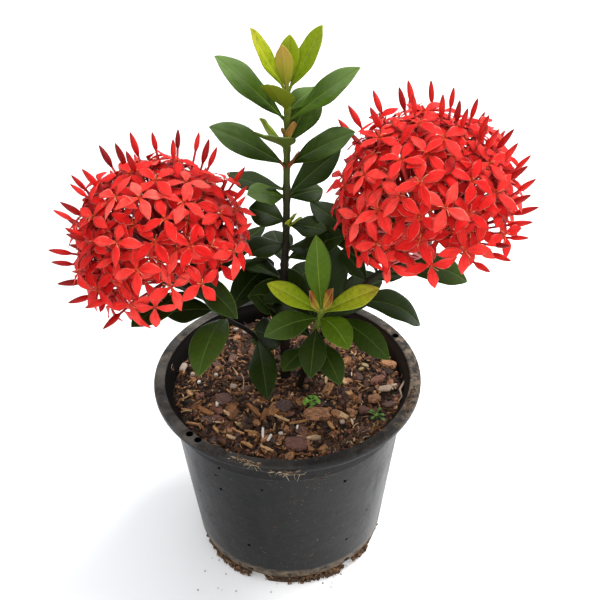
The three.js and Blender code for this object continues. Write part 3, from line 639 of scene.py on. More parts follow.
def swept(points, radii, sides=6, lobes=0.0, twist=0.0):
    """A rod through a row of points. Lobes swells its sides into four ridges, twisted along it."""
    points = [Vector(p) for p in points]
    u = (points[1] - points[0]).orthogonal().normalized()
    loops = []
    for i, point in enumerate(points):
        along = (points[min(i + 1, len(points) - 1)] - points[max(i - 1, 0)]).normalized()
        u = (u - along * u.dot(along)).normalized()
        v = along.cross(u)
        ring = []
        for k in range(sides):
            turn = 2 * math.pi * k / sides
            reach = radii[i] * (1 + lobes * math.cos(4 * turn + twist * i))
            ring.append(point + (u * math.cos(turn) + v * math.sin(turn)) * reach)
        loops.append(ring)
    return skin(loops)


soil_crumbs = Growth()
for px, py in scattered(*SCATTER["crumbs"]):
    soil_crumbs.add(laid(pebble(0.9 + 1.7 * draw.uniform() ** 2), px, py, draw.uniform(-0.3, 0.9), 0.5))
soil_crumbs.piece("soil_crumbs", humus_soil, "soil", ["potting_mix"])

perlite = Growth()
for px, py in scattered(*SCATTER["perlite"]):
    perlite.add(laid(pebble(0.5 + 0.9 * draw.uniform() ** 2), px, py, draw.uniform(0.2, 1.2), 0.5),
                shade=draw.uniform())
PALE_BITS = (  # husks and large grains: place in the camera's view, length, width, yaw and shade
    (217.5, 405, 6.6, 2.2, 1.5, 0.9), (263, 435.5, 7.4, 1.7, 1.6, 0.95), (270, 440, 8.2, 1.7, 1.3, 0.95),
    (385, 392, 10.0, 5.0, -0.1, 0.4), (394, 388.5, 5.0, 2.2, 0.5, 0.5), (199.5, 386, 2.4, 2.2, 0, 1.0),
    (216.5, 379, 3.0, 2.2, 0, 0.6), (234, 389, 4.4, 3.6, 0, 0.42), (184, 370, 7.0, 5.0, 1.4, 0.5),
    (352, 424, 4.4, 1.4, 1.8, 0.8), (297.5, 431, 2.8, 1.6, 1.2, 1.0), (281, 437.5, 3.0, 2.0, 0, 0.7),
    (365, 368, 5.0, 3.0, -0.4, 0.15), (361, 372, 4.0, 2.4, 0.4, 0.1), (342.5, 425, 3.4, 2.8, 0, 0.5),
    (239, 427, 3.2, 1.8, 0.4, 0.1), (236, 332, 3.6, 2.2, 0, 0.6), (245, 334, 3.0, 2.4, 0, 0.8),
    (193, 377, 3.2, 2.4, 0, 0.5), (315.5, 441.5, 6.0, 2.6, 0.1, 0.25),
)
for px, py, length, width, yaw, shade in PALE_BITS:
    body = chip(length, width, min(width, 2.2) * 0.8, 8, 0.12)
    perlite.add(laid(body, *on_mix(px, py), 2.6, 0.12, yaw), shade=shade)

TWIG = (  # place in the camera's view, and level
    (405.2, 380.4, 126), (399.7, 389.2, 124), (402, 396.5, 123.5), (398.8, 401, 122.5),
)
twig = [Vector((*on_mix(px, py, level), level)) for px, py, level in TWIG]
perlite.add(swept(twig, [0.8, 0.7, 0.6, 0.4], 6), shade=0.35)

chalk = Paint("perlite_and_husks")
shade = chalk.mark("shade")
colour = chalk.ramp(shade, (0.0, "8c7f45"), (0.3, "9c8069"), (0.6, "b0a293"), (1.0, "e3ddd2"))
pits = chalk.grain(0.7, 3, 0.7)
colour = chalk.mix(pits.up(0.5, 0.75) * 0.4, colour, "7c6553")
perlite_white = chalk.surface(Base_Color=colour, Roughness=0.75, Normal=chalk.relief(pits, 0.25))
perlite.piece("perlite_and_husks", perlite_white, "soil", ["potting_mix"], sharp=40)


def thread(start, heading, length, wander, radius, steps=6):
    """A thin root or fibre that wanders as it goes."""
    points, heading = [Vector(start)], Vector(heading).normalized()
    for _ in range(steps):
        heading = (heading + Vector(draw.normal(0, wander, 3))).normalized()
        points.append(points[-1] + heading * length / steps)
    return swept(points, np.linspace(radius, radius * 0.5, steps + 1), 3)


fibres = Growth()
for px, py in scattered(*SCATTER["fibres"]):
    heading = (draw.normal(), draw.normal(), draw.normal(0, 0.12))
    start = (px, py, mix_height(px, py) + draw.uniform(0.8, 2.6))
    fibres.add(thread(start, heading, draw.uniform(4, 12), 0.24, draw.uniform(0.1, 0.2)),
               shade=draw.uniform(0, 0.8))
LONG_FIBRES = (  # start and end in the camera's view, the start's level and shade
    (241, 373, 243, 392, 124, 0.9), (404.5, 351, 400.6, 381, 130, 0.5), (353, 428, 358, 426, 124, 0.95),
    (358, 426, 357.5, 439, 124, 0.9), (351, 421, 353, 428, 125, 1.0), (181, 412, 192, 414, 124, 0.95),
    (373, 397, 380, 411, 124, 0.6),
)
for x0, y0, x1, y1, level, shade in LONG_FIBRES:
    start, end = Vector((*on_mix(x0, y0, level), level)), Vector((*on_mix(x1, y1), 123.0))
    side = Vector((0, 0, 1)).cross(end - start).normalized()
    reach = (end - start).length
    bowed = [start.lerp(end, t) + (side * 0.08 + Vector((0, 0, 0.04))) * reach * math.sin(math.pi * t)
             for t in np.linspace(0, 1, 9)]
    fibres.add(swept(bowed, [0.35] * 9, 5), shade=shade)
fibres.piece("root_fibres", wood_fibre, "soil", ["potting_mix"])

# ---- Soil on the pot ----
# Crumbs, fibres and clods of the same mix cling where the pot was filled and dragged: on the lip and
# under it, as specks on the wall, and as wet clods round the foot.

CRUMB_SIZE = {"lip": 1.1, "foot": 1.5, "speck": 0.7, "grit": 0.5}
FOOT_DEPTH = 1.5
GRIT = {"count": 70, "lowest": 14, "highest": 110}
clinging = Growth()
strands = Growth()


def clod(spot, spread, crumbs_in_it, threads, size, depth=0.0):
    """A smear of crumbs and fibres round a spot on the pot's outside, up to depth thick."""
    outward = Vector((spot.x, spot.y, 0)).normalized()
    level = Vector((0, 0, 1)).cross(outward)
    for _ in range(crumbs_in_it):
        off = level * draw.normal(0, spread[0]) + Vector((0, 0, 1)) * draw.normal(0, spread[1])
        radius = math.hypot(spot.x, spot.y) + draw.uniform(-0.1, depth)
        at = polar(radius, math.degrees(math.atan2(spot.y + off.y, spot.x + off.x)),
                   max(spot.z + off.z, 0.5))
        big = size * (0.35 + 1.5 * draw.uniform() ** 2.5)
        points, faces = pebble(big)
        spin = turned_by(draw.uniform(0, 3), draw.uniform(0, 3), draw.uniform(0, 3))
        clinging.add((points @ spin.T + np.array((at.x, at.y, max(at.z, big * 0.6))), faces))
    for _ in range(threads):
        off = level * draw.normal(0, spread[0]) + Vector((0, 0, 1)) * draw.normal(0, spread[1])
        heading = level * draw.normal() + Vector((0, 0, draw.normal(0, 0.35))) + outward * 0.15
        points, faces = thread(spot + off + outward * 0.3, heading, draw.uniform(1.5, 5), 0.2,
                               draw.uniform(0.1, 0.24))
        points[:, 2] = np.maximum(points[:, 2], 0.3) + 0.02 * (points[:, 2] % 1)
        strands.add((points, faces), shade=draw.choice((0.15, 0.5, 0.75, 1.05)))


ON_LIP = (  # place in the camera's view, spread along and up, crumbs, threads
    (238, 459, 2.6, 1.0, 44, 24), (246, 462, 3.0, 1.2, 50, 30), (255, 465, 2.6, 0.9, 30, 16),
    (288, 473, 3.0, 0.9, 16, 34), (278, 471, 2.4, 0.5, 8, 8), (411, 397, 2.2, 1.8, 90, 16),
    (409, 405, 2.2, 1.2, 60, 8), (414, 391, 1.6, 1.0, 30, 6), (361, 441, 1.4, 1.8, 60, 10),
    (356, 434, 3.2, 0.4, 44, 6), (226, 451, 3.0, 0.5, 22, 4), (350, 438, 3.4, 0.4, 34, 4),
    (334, 447, 4.0, 0.4, 26, 3), (300, 459, 5.0, 0.3, 8, 1), (216, 444, 2.4, 0.5, 14, 3),
    (173, 366, 1.4, 1.0, 6, 1), (322, 474, 4.0, 0.4, 10, 2), (368, 427, 2.4, 0.5, 24, 3),
)
for px, py, along, up, crumbs_in_it, threads in ON_LIP:
    clod(on_wall(px, py), (along, up), crumbs_in_it, threads, CRUMB_SIZE["lip"])
ON_FOOT = (  # degrees round the pot, height, spread along and up, crumbs, threads
    (206, 5.0, 2.4, 1.6, 6, 3), (213, 4.5, 2.4, 1.6, 12, 4), (220, 4.4, 1.6, 2.2, 80, 18),
    (225, 3.4, 2.4, 1.6, 80, 20), (232, 3.4, 2.6, 2.0, 110, 28), (238, 3.8, 2.2, 2.6, 120, 28),
    (243, 4.6, 1.4, 1.6, 50, 12), (259, 5.0, 3.0, 2.0, 10, 3), (266, 4.4, 4.0, 2.2, 16, 4),
    (274, 5.0, 4.0, 2.2, 24, 5), (281, 4.4, 4.0, 2.4, 50, 8), (288, 4.0, 3.0, 2.4, 80, 16),
    (294, 4.2, 2.2, 2.6, 140, 30), (299, 4.4, 1.6, 2.2, 110, 26), (303, 5.0, 1.2, 1.4, 30, 10),
    (314, 5.0, 1.4, 1.6, 50, 14), (319, 4.4, 1.8, 1.8, 90, 22), (325, 4.6, 1.4, 1.4, 36, 12),
    (341, 6.0, 1.4, 0.8, 8, 5), (70, 2.5, 5.0, 1.4, 30, 5), (150, 3.0, 5.0, 1.5, 40, 6),
)
for degrees, level, along, up, crumbs_in_it, threads in ON_FOOT:
    place = polar(POT["foot"] + 0.3, degrees, level)
    clod(place, (along, up), crumbs_in_it, threads, CRUMB_SIZE["foot"], FOOT_DEPTH)
WALL_SPECKS = (  # place in the camera's view, and half the number of crumbs
    (305, 503, 4), (303, 500, 2), (339, 514, 5), (275, 526, 5), (274, 530, 3), (264, 552, 5), (266, 549, 3),
    (281, 511, 2), (335, 539, 2), (323, 479, 4), (320, 484, 3), (307, 487, 3), (345, 493, 2), (299, 552, 2),
    (209, 514, 3), (310, 556, 2), (367, 509, 3),
)
for px, py, crumbs_in_it in WALL_SPECKS:
    clod(on_wall(px, py), (0.8, 0.8), 2 * crumbs_in_it, 0, CRUMB_SIZE["speck"])
for _ in range(GRIT["count"]):
    level = draw.uniform(GRIT["lowest"], GRIT["highest"])
    clod(polar(wall_radius(level), draw.uniform(0, 360), level), (0.5, 0.5), 1, 0, CRUMB_SIZE["grit"])

earth = Paint("dried_earth")
lumps, dots = earth.grain(2.6, 4, 0.6), earth.grain(0.7, 3)
colour = earth.ramp(lumps, (0.3, "2a1a10"), (0.5, "51361f"), (0.66, "8a6746"), (0.8, "bb9a76"))
earth_brown = earth.surface(Base_Color=colour, Roughness=0.9, Normal=earth.relief(dots, 0.4))
straw = Paint("dry_fibre")
colour = straw.ramp(straw.mark("shade"), (0.1, "35261a"), (0.55, "86705a"), (1.0, "c8b697"))
colour = straw.mix(straw.grain(0.7, 3).up(0.45, 0.7) * 0.4, colour, "54402c")
dry_fibre = straw.surface(Base_Color=colour, Roughness=0.85)
clinging.piece("clinging_soil", earth_brown, "soil")
strands.piece("clinging_fibres", dry_fibre, "soil")

# ---- Stems and leaves ----
# Each shoot is a woody stem, brown and ridged below and green above, with pairs of thick, glossy leaves
# on very short stalks, each pair square to the next. New growth is yellow-green, then bronze at the tip.

Leaf = namedtuple("Leaf", "z turn rise length width droop twist age")
STEMS = {  # points from the foot up, and the radius at each
    "main": (((-1.5, 9, 110), (-1.5, 9, 121), (-1.5, 7.5, 160), (-1, 6, 200), (1, 5, 236), (2, 5, 274),
              (2.6, 4, 300), (3, 3.2, 313.6)), (4.0, 3.5, 2.7, 2.3, 2.1, 1.9, 1.75, 1.7)),
    "left": (((-15, 5, 110), (-16, 4, 121), (-16, 4, 146), (-19, 2.5, 158), (-26, -0.5, 168), (-36, -4, 178),
              (-50, -9, 200), (-59.5, -10.8, 209)), (2.6, 2.3, 1.9, 1.7, 1.5, 1.5, 1.7, 1.8)),
    "right": (((8, 8, 110), (9, 8, 121), (19, 4, 152), (34, -1, 182), (51, -5, 207), (65, -8, 217.5),
               (76, -9.6, 226)), (2.9, 2.7, 2.3, 2.0, 1.9, 1.85, 1.8)),
    "front": (((8, 0, 110), (8, -1, 121), (12, -7, 145), (16, -15, 170), (19.5, -20, 189.6)),
              (1.9, 1.8, 1.7, 1.6, 1.6)),
    "main_tip": (((3, 3.2, 313.9), (3, 3, 318), (3, 3, 323)), (1.9, 1.7, 1.2)),
    "front_tip": (((19.6, -20.1, 189.9), (20.5, -21.3, 193.5), (21.2, -22.2, 198)), (1.6, 1.5, 1.1)),
}
# Height of the joint on the stem, turn about +Z from +X, rise, length, width, droop, twist and age, where
# 0 is a dark mature leaf, 0.5 a green one, 0.75 a yellow-green one and 1 a bronze new one.
LEAVES = {
    "main": (
        Leaf(309, 249, 50, 33, 19, 8, -3, 0.5), Leaf(309, 42, 24, 20, 15, 0, 10, 0.3),
        Leaf(303, 185, 48, 52, 19, 4, -30, 0.3), Leaf(303, 355, 41, 49, 19, 4, 24, 0.34),
        Leaf(288, 50, 51, 36, 20, 5, 30, 0.22), Leaf(286, 250, 43, 43, 23, 16, 0, 0.26),
        Leaf(276, 188, 38, 49, 20, 10, -30, 0.16), Leaf(276, 352, 37, 44, 20, 10, 25, 0.14),
        Leaf(262, 162, -5, 36, 20, -26, 0, 0.06), Leaf(257, 15, 42, 40, 21, 8, 18, 0.06),
        Leaf(257, 205, 22, 25, 19, 10, -15, 0.3), Leaf(256, 27, 5, 23, 17, 10, 25, 0.1),
        Leaf(240, 175, 27, 23, 21, 10, -25, 0.05), Leaf(239, 348, 1, 24, 21, 7, 5, 0.08),
        Leaf(240, 0, -8, 36, 19, 20, -10, 0.03), Leaf(224, 212, 30, 24.5, 21, 55, -6, 0.06),
        Leaf(214, 340, 38, 44, 20, 10, 35, 0.04), Leaf(210, 100, 12, 42, 20, 25, 0, 0.02),
        Leaf(194, 205, 4, 20, 20, 15, -20, 0.06),
        Leaf(150, 174, 10, 22, 16, 15, -10, 0.08),
    ),
    "main_tip": (
        Leaf(320, 190, 59, 39, 13, -8, -35, 0.7), Leaf(320, 5, 58, 39, 16, -8, 28, 0.6),
        Leaf(321, 78, 73, 28, 12, 0, 0, 0.62), Leaf(320, 265, 76, 28.5, 9.8, 0, 0, 0.8),
    ),
    "left": (
        Leaf(206, 311, 39, 50, 17, 70, 60, 0.12), Leaf(203, 216, 5, 44, 20, 25, -10, 0.1),
        Leaf(204, 45, 26, 61, 20, 16, -1, 0.05), Leaf(190, 130, 12, 40, 20, 20, 10, 0.04),
        Leaf(178, 48, 58, 49, 24, 64, 70, 0.03), Leaf(186, 185, 10, 32, 19, 20, -20, 0.05),
        Leaf(178, 259, 36, 57, 22, 76, 6, 0.2),
    ),
    "right": (
        Leaf(210, 145, 57, 60, 25, 40, -13, 0.05), Leaf(204, 165, 55, 26, 17, 10, -20, 0.03),
        Leaf(206, 5, 15, 20, 13, 20, 0, 0.2), Leaf(212, 7, 16, 56, 22, 60, 23, 0.16),
        Leaf(212, 60, 30, 30, 17, 15, 10, 0.05), Leaf(187, 4, 13, 53, 24, 73, 14, 0.08),
        Leaf(174, 314, 15, 47, 16, 43, 50, 0.16), Leaf(168, 331, 0, 26, 13, 20, 5, 0.1),
        Leaf(185, 60, 5, 44, 20, 15, 0, 0.04), Leaf(160, 100, 20, 42, 19, 30, 0, 0.04),
    ),
    "front": (
        Leaf(189.3, 217, 26, 41, 16.5, 33, -40, 0.2), Leaf(189.3, 304, 34, 34, 17, 73, 14, 0.42),
        Leaf(181, 262, 11, 40, 16, 40, 0, 0.12), Leaf(172, 292, 9, 40, 15.5, 40, 5, 0.16),
        Leaf(164, 228, 6, 26, 15, 35, -5, 0.14),
    ),
    "front_tip": (
        Leaf(195, 110, 80, 49, 16, -5, 0, 0.4), Leaf(194, 168, 36, 36, 14, 15, -28, 0.64),
        Leaf(194, 6, 27, 37, 14, 12, 32, 0.7), Leaf(195, 196, 60, 18, 8, -16, -45, 0.92),
        Leaf(195, 342, 64, 19, 9, -12, 45, 0.95),
    ),
}
BLADE = {"cup": 7.0, "petiole": 0.05, "swell": 1.3, "fullness": 0.8, "rows": 27, "across": 8,
         "thickness": 0.55}


def on_stem(points, z):
    """The stem's middle at a height."""
    above = max(1, next(i for i, p in enumerate(points) if p[2] >= z))
    low, high = Vector(points[above - 1]), Vector(points[above])
    return low.lerp(high, (z - low.z) / (high.z - low.z))


def half_width(share, width, petiole, stalk):
    """A petiole, then a long ellipse that is widest past its middle and ends in a short point."""
    q = max(0.0, (share - petiole) / (1 - petiole))
    spread = width / 2 * abs(math.sin(math.pi * q ** BLADE["swell"])) ** BLADE["fullness"]
    return max(stalk * (1 - 0.75 * q), spread)


def blade(growth, root, leaf, rng, petiole=BLADE["petiole"], stalk=0.9, thickness=BLADE["thickness"]):
    """One leaf, as a closed thin body, with its veins' coordinates at each point."""
    level = Vector((math.cos(math.radians(leaf.turn)), math.sin(math.radians(leaf.turn)), 0))
    side = Vector((-level.y, level.x, 0))
    cup, roll = math.radians(BLADE["cup"]), math.radians(leaf.twist)
    waves = rng.uniform(0, 6.28, 3)
    swerve = rng.normal(0, 0.03)
    steps = BLADE["across"]
    t = np.linspace(-1, 1, 2 * steps + 1)
    shares = [0.5 - 0.5 * math.cos(math.pi * i / (BLADE["rows"] - 1)) for i in range(BLADE["rows"])]
    at, before, loops, marks = Vector(root), 0.0, [], []
    for share in shares:
        middle = math.radians(leaf.rise - leaf.droop * (share + before) / 2)
        run = leaf.length * (share - before)
        rise = Vector((0, 0, run * math.sin(middle)))
        at = at + level * run * math.cos(middle) + rise + side * run * swerve
        before = share
        slope = math.radians(leaf.rise - leaf.droop * share)
        normal = Vector((0, 0, math.cos(slope))) - level * math.sin(slope)
        s = side * math.cos(roll) + normal * math.sin(roll)
        n = normal * math.cos(roll) - side * math.sin(roll)
        half = half_width(share, leaf.width, petiole, stalk)
        narrow = 1 - min(1.0, share / (petiole + 0.04))
        fold = math.sin(cup) * (1 + 0.5 * narrow) * np.sqrt(abs(t) ** 2 + 0.02) * half
        ripple = 0.05 * half * t ** 2 * (
            np.sin(9 * share + waves[0] + 1.2 * t) + 0.6 * np.sin(17 * share + waves[1] - t))
        arch = -0.05 * half * t ** 4 * (1 - narrow)
        lift = fold + ripple + arch - thickness / 2 * np.exp(-(t * half / 0.7) ** 2) * (1 - narrow)
        thick = thickness * (0.35 + 0.65 * (1 - t ** 6)) * (1 - 0.3 * min(1.0, leaf.age))
        keel = (stalk * (0.8 * (1 - share) ** 0.7 + 0.1) * np.exp(-(t * half / 0.75) ** 2)
                + stalk * narrow * (1 - t ** 2))
        centre, across, upward = np.array(at), np.array(s) * math.cos(cup), np.array(n)
        top = centre + np.outer(t * half, across) + np.outer(lift + thick / 2, upward)
        low = centre + np.outer(t * half, across) + np.outer(lift - thick / 2 - keel, upward)
        loops.append(np.vstack([top, low[::-1][1:-1]]))
        x = np.concatenate([t, t[::-1][1:-1]])
        below = np.concatenate([np.zeros_like(t), np.ones(len(t) - 2)])
        marks.append(np.stack([np.full_like(x, share), x * half, half * (1 - abs(x)), below]))
    share, rib, rim, below = np.concatenate(marks, axis=1)
    seed = rng.uniform()
    growth.add(skin(loops), along=share * leaf.length, tipward=share, rib=rib, rim=rim, below=below,
               age=leaf.age, seed=seed)


def limb(points, radii, joints, sides=20, step=2.0):
    """A stem: a smooth rod through its points, swollen and scarred at its joints."""
    points = [Vector(p) for p in points]
    path, thick, marks = [], [], []
    for i in range(len(points) - 1):
        p0, p1, p2 = points[max(i - 1, 0)], points[i], points[i + 1]
        p3 = points[min(i + 2, len(points) - 1)]
        pieces = max(2, int((p2 - p1).length / step))
        for t in np.arange(pieces + (i == len(points) - 2)) / pieces:
            bent = (p1 * 2 + (p2 - p0) * t + (p0 * 2 - p1 * 5 + p2 * 4 - p3) * t * t
                    + (p1 * 3 - p0 - p2 * 3 + p3) * t * t * t) / 2
            path.append(bent)
            thick.append(radii[i] + (radii[i + 1] - radii[i]) * t)
    rings = []
    u = Vector((0, 1, 0))
    for i, point in enumerate(path):
        along = (path[min(i + 1, len(path) - 1)] - path[max(i - 1, 0)]).normalized()
        u = (u - along * u.dot(along)).normalized()
        v = along.cross(u)
        near = max([math.exp(-((point.z - z) / 1.7) ** 2) for z in joints] or [0.0])
        ring = []
        for k in range(sides):
            turn = 2 * math.pi * k / sides
            rough = noise.noise(Vector((turn * 1.3, point.z * 0.35, i * 0.01)))
            ridge = 0.05 * math.sin(5 * turn + point.z * 0.07) + 0.06 * rough
            ring.append(point + (u * math.cos(turn) + v * math.sin(turn)) * thick[i]
                        * (1 + 0.24 * near + ridge))
            marks.append(near)
        rings.append(ring)
    return skin(rings), np.array(marks)


leaf_paint = Paint("ixora_leaf")
along, tipward, rib, rim, below, age, seed = [
    leaf_paint.mark(name) for name in ("along", "tipward", "rib", "rim", "below", "age", "seed")]
cloud = leaf_paint.grain(9, 3, 0.55)
mottle = leaf_paint.grain(2.6, 3, 0.6)
pores = leaf_paint.grain(0.45, 2)
side_vein = abs(((along - abs(rib) * 0.75) / 4.6).wave() - 0.5)
side_vein = (1 - side_vein.up(0.0, 0.11)) * rim.up(0.6, 2.5) * abs(rib).up(0.4, 1.2)
midrib = (1 - abs(rib).up(0.12, 0.5)) * (1 - tipward.up(0.75, 1.0) * 0.6)
margin = 1 - rim.up(0.1, 0.42)
new_growth = age.up(0.5, 0.75)
ripeness = age + (cloud - 0.5) * 0.14 + (seed - 0.5) * 0.04 + (tipward - 0.55) * new_growth * 0.3
body = leaf_paint.ramp(
    ripeness, (0.0, "161f06"), (0.12, "24330a"), (0.3, "374e0e"), (0.46, "4b660e"),
    (0.62, "7f9416"), (0.76, "a1a820"), (0.88, "b09a3a"), (0.97, "a87a36"), (1.0, "8e4e26"))
vein_tone = leaf_paint.ramp(
    age, (0.0, "46592a"), (0.3, "6c8334"), (0.6, "a3b145"), (0.85, "c2ad58"), (1.0, "c79b68"))
under_tone = leaf_paint.ramp(
    age + (tipward - 0.45) * new_growth * 0.35, (0.0, "3d4f26"), (0.3, "4c5c1c"), (0.5, "6b7618"),
    (0.7, "95942f"), (0.85, "a89a3c"), (1.0, "ad8446"))
lie = leaf_paint.node("ShaderNodeCombineXYZ", {}, {0: along * 0.09, 1: rib * 0.2, 2: seed * 90})
sheen_streaks = leaf_paint.node("ShaderNodeTexNoise", {},
                          {"Vector": lie, "Scale": 1.0, "Detail": 3.0, "Roughness": 0.55})
grown = age.up(0.05, 0.2) * (1 - age.up(0.34, 0.42))
# lifted: how high a leaf stands, where its painted sheen and painted shade streaks are stronger
lifted = leaf_paint.node("ShaderNodeSeparateXYZ", {}, {0: leaf_paint.place()}, output=2).up(0.2, 0.27)
colour = leaf_paint.mix(mottle.up(0.4, 0.75) * (0.2 + new_growth * 0.2), body, "1c2c08")
# Painted sheen: middle-aged leaves are painted pale grey-green toward their tips, more the higher they stand.
outward = grown * (tipward + (sheen_streaks - 0.5) * 0.7).up(0.4, 1.0) * (0.3 + age) * (0.12 + lifted * 0.6)
# Painted shade: dark streaks between the painted sheen, stronger on higher leaves.
colour = leaf_paint.mix(sheen_streaks.up(0.48, 0.66) * grown * (0.25 + lifted * 0.4), colour, "182608")
colour = leaf_paint.mix(outward, colour, "86a263")
colour = leaf_paint.mix(side_vein * (0.06 + age * 0.16), colour, vein_tone)
colour = leaf_paint.mix(below.up(0.4, 0.6) * 0.85, colour, under_tone)
colour = leaf_paint.mix(midrib * 0.5, colour, vein_tone)
colour = leaf_paint.mix(margin * 0.5, colour, vein_tone)
blotch = leaf_paint.grain(3.4, 3, 0.6).up(0.63, 0.72) * tipward.up(0.35, 0.8) * (1 - age.up(0.2, 0.35))
colour = leaf_paint.mix(blotch * 0.25, colour, "4a2d14")
colour = leaf_paint.mix(age.up(1.05, 1.15) * 0.85, colour, "6b3119")
relief = (1 - midrib) * 0.6 - side_vein * 0.14 + cloud * 0.35
glossy_leaf = leaf_paint.surface(
    Base_Color=colour, Roughness=0.33 + cloud * 0.18 + below.up(0.4, 0.6) * 0.25 + age * 0.08,
    Normal=leaf_paint.relief(pores, 0.02, leaf_paint.relief(relief, 0.35)),
    Specular_IOR_Level=0.07, Subsurface_Weight=0.05, Subsurface_Radius=(0.3, 0.6, 0.1),
    Subsurface_Scale=0.001)

stem_paint = Paint("woody_stem")
woody, joint = stem_paint.mark("woody"), stem_paint.mark("joint")
streaks = stem_paint.grain(1.6, 4, 0.7)
lenticels = stem_paint.grain(1.0, 2).up(0.64, 0.72)
colour = stem_paint.ramp(
    woody + (streaks - 0.5) * 0.25, (0.05, "74862f"), (0.4, "525f22"), (0.62, "2c3119"), (0.85, "19140d"))
colour = stem_paint.mix(joint * 0.25, colour, "37241a")
colour = stem_paint.mix(lenticels * 0.15, colour, "6f5a43")
woody_stem = stem_paint.surface(Base_Color=colour, Roughness=0.62, Normal=stem_paint.relief(streaks, 0.5),
                                Specular_IOR_Level=0.15)

WOOD_ENDS = 2.6  # the higher, the further up a stem stays woody
SHOOTS = {  # key: stem piece, leaf piece, CAD node, slot, how woody at the bottom and at the top
    "main": ("main_stem", "main_leaves", "main_shoot", "mature_leaf", 1.0, 0.15),
    "main_tip": ("main_tip_stem", "main_tip_leaves", "main_shoot_tip", "young_leaf", 0.05, 0.0),
    "left": ("left_stem", "left_leaves", "left_shoot", "mature_leaf", 1.0, 0.8),
    "right": ("right_stem", "right_leaves", "right_shoot", "mature_leaf", 1.0, 0.6),
    "front": ("front_stem", "front_leaves", "front_shoot", "mature_leaf", 0.9, 0.2),
    "front_tip": ("front_tip_stem", "front_tip_leaves", "front_shoot_tip", "young_leaf", 0.1, 0.0),
}
SPRIGS = {  # the small new leaves in the joints of the stem, and the dark inner ones
    "main": (
        Leaf(288.5, 203, 39, 24, 12, -25, -23, 0.62), Leaf(290, 305, 66, 15, 9, -12, 15, 0.93),
        Leaf(290, 222, 68, 11, 7, -12, -10, 0.98), Leaf(274, 312, 54, 17, 10, -5, 20, 1.2),
        Leaf(274, 220, 56, 8, 6, 0, -20, 1.2), Leaf(236, 338, 50, 14, 5, 10, 0, 0.6),
        Leaf(236, 295, 66, 10, 4, 10, 0, 0.62), Leaf(236, 20, 60, 11, 4, 10, 0, 0.58),
        Leaf(168, 228, 89, 44, 22, 80, -80, 0.06), Leaf(170, 214, 61, 35, 22, 15, -20, 0.04),
        Leaf(150, 221, 45, 34, 21, 3, -49, 0.03), Leaf(200, 150, 16, 32, 20, 20, 10, 0.02),
        Leaf(222, 350, 10, 26, 20, 20, 10, 0.02), Leaf(180, 60, 30, 40, 20, 25, 0, 0.02),
    ),
    "left": (
        Leaf(156, 274, 16, 48, 19, 56, 30, 0.05),
        Leaf(204, 60, 55, 46, 24, 15, 0, 0.03),
    ),
    "right": (Leaf(214, 120, 50, 50, 24, 15, 0, 0.03), Leaf(218, 97, 58, 44, 24, 15, 0, 0.03)),
    "front": (
        Leaf(176, 52, 58, 60, 26, -34, 57, 0.02), Leaf(180, 44, 33, 60, 24, 53, 70, 0.05),
        Leaf(184, 130, 43, 50, 22, 59, -36, 0.05), Leaf(170, 150, 35, 34, 20, 20, 0, 0.03),
    ),
}
for number, (key, (stem_name, leaf_name, node, slot, low_wood, high_wood)) in enumerate(SHOOTS.items()):
    points, radii = STEMS[key]
    rng = np.random.default_rng(200 + number)
    body, joints = limb(points, radii, [leaf.z for leaf in LEAVES[key]])
    levels = body[0][:, 2]
    share = (levels - levels.min()) / (levels.max() - levels.min())
    stem = Growth()
    stem.add(body, woody=low_wood + (high_wood - low_wood) * share ** WOOD_ENDS, joint=joints)
    stem.piece(stem_name, woody_stem, slot, [node])
    leaves = Growth()
    for leaf in LEAVES[key] + SPRIGS.get(key, ()):
        blade(leaves, on_stem(points, leaf.z), leaf, rng)
    leaves.piece(leaf_name, glossy_leaf, slot, [node])

# ---- Flower heads ----
# A rounded corymb at the end of a stem: a short stalk that forks again and again, and on its ends long
# thin tubes, each opening in four pointed, waxy petals. Unopened buds stand higher, like spindles.

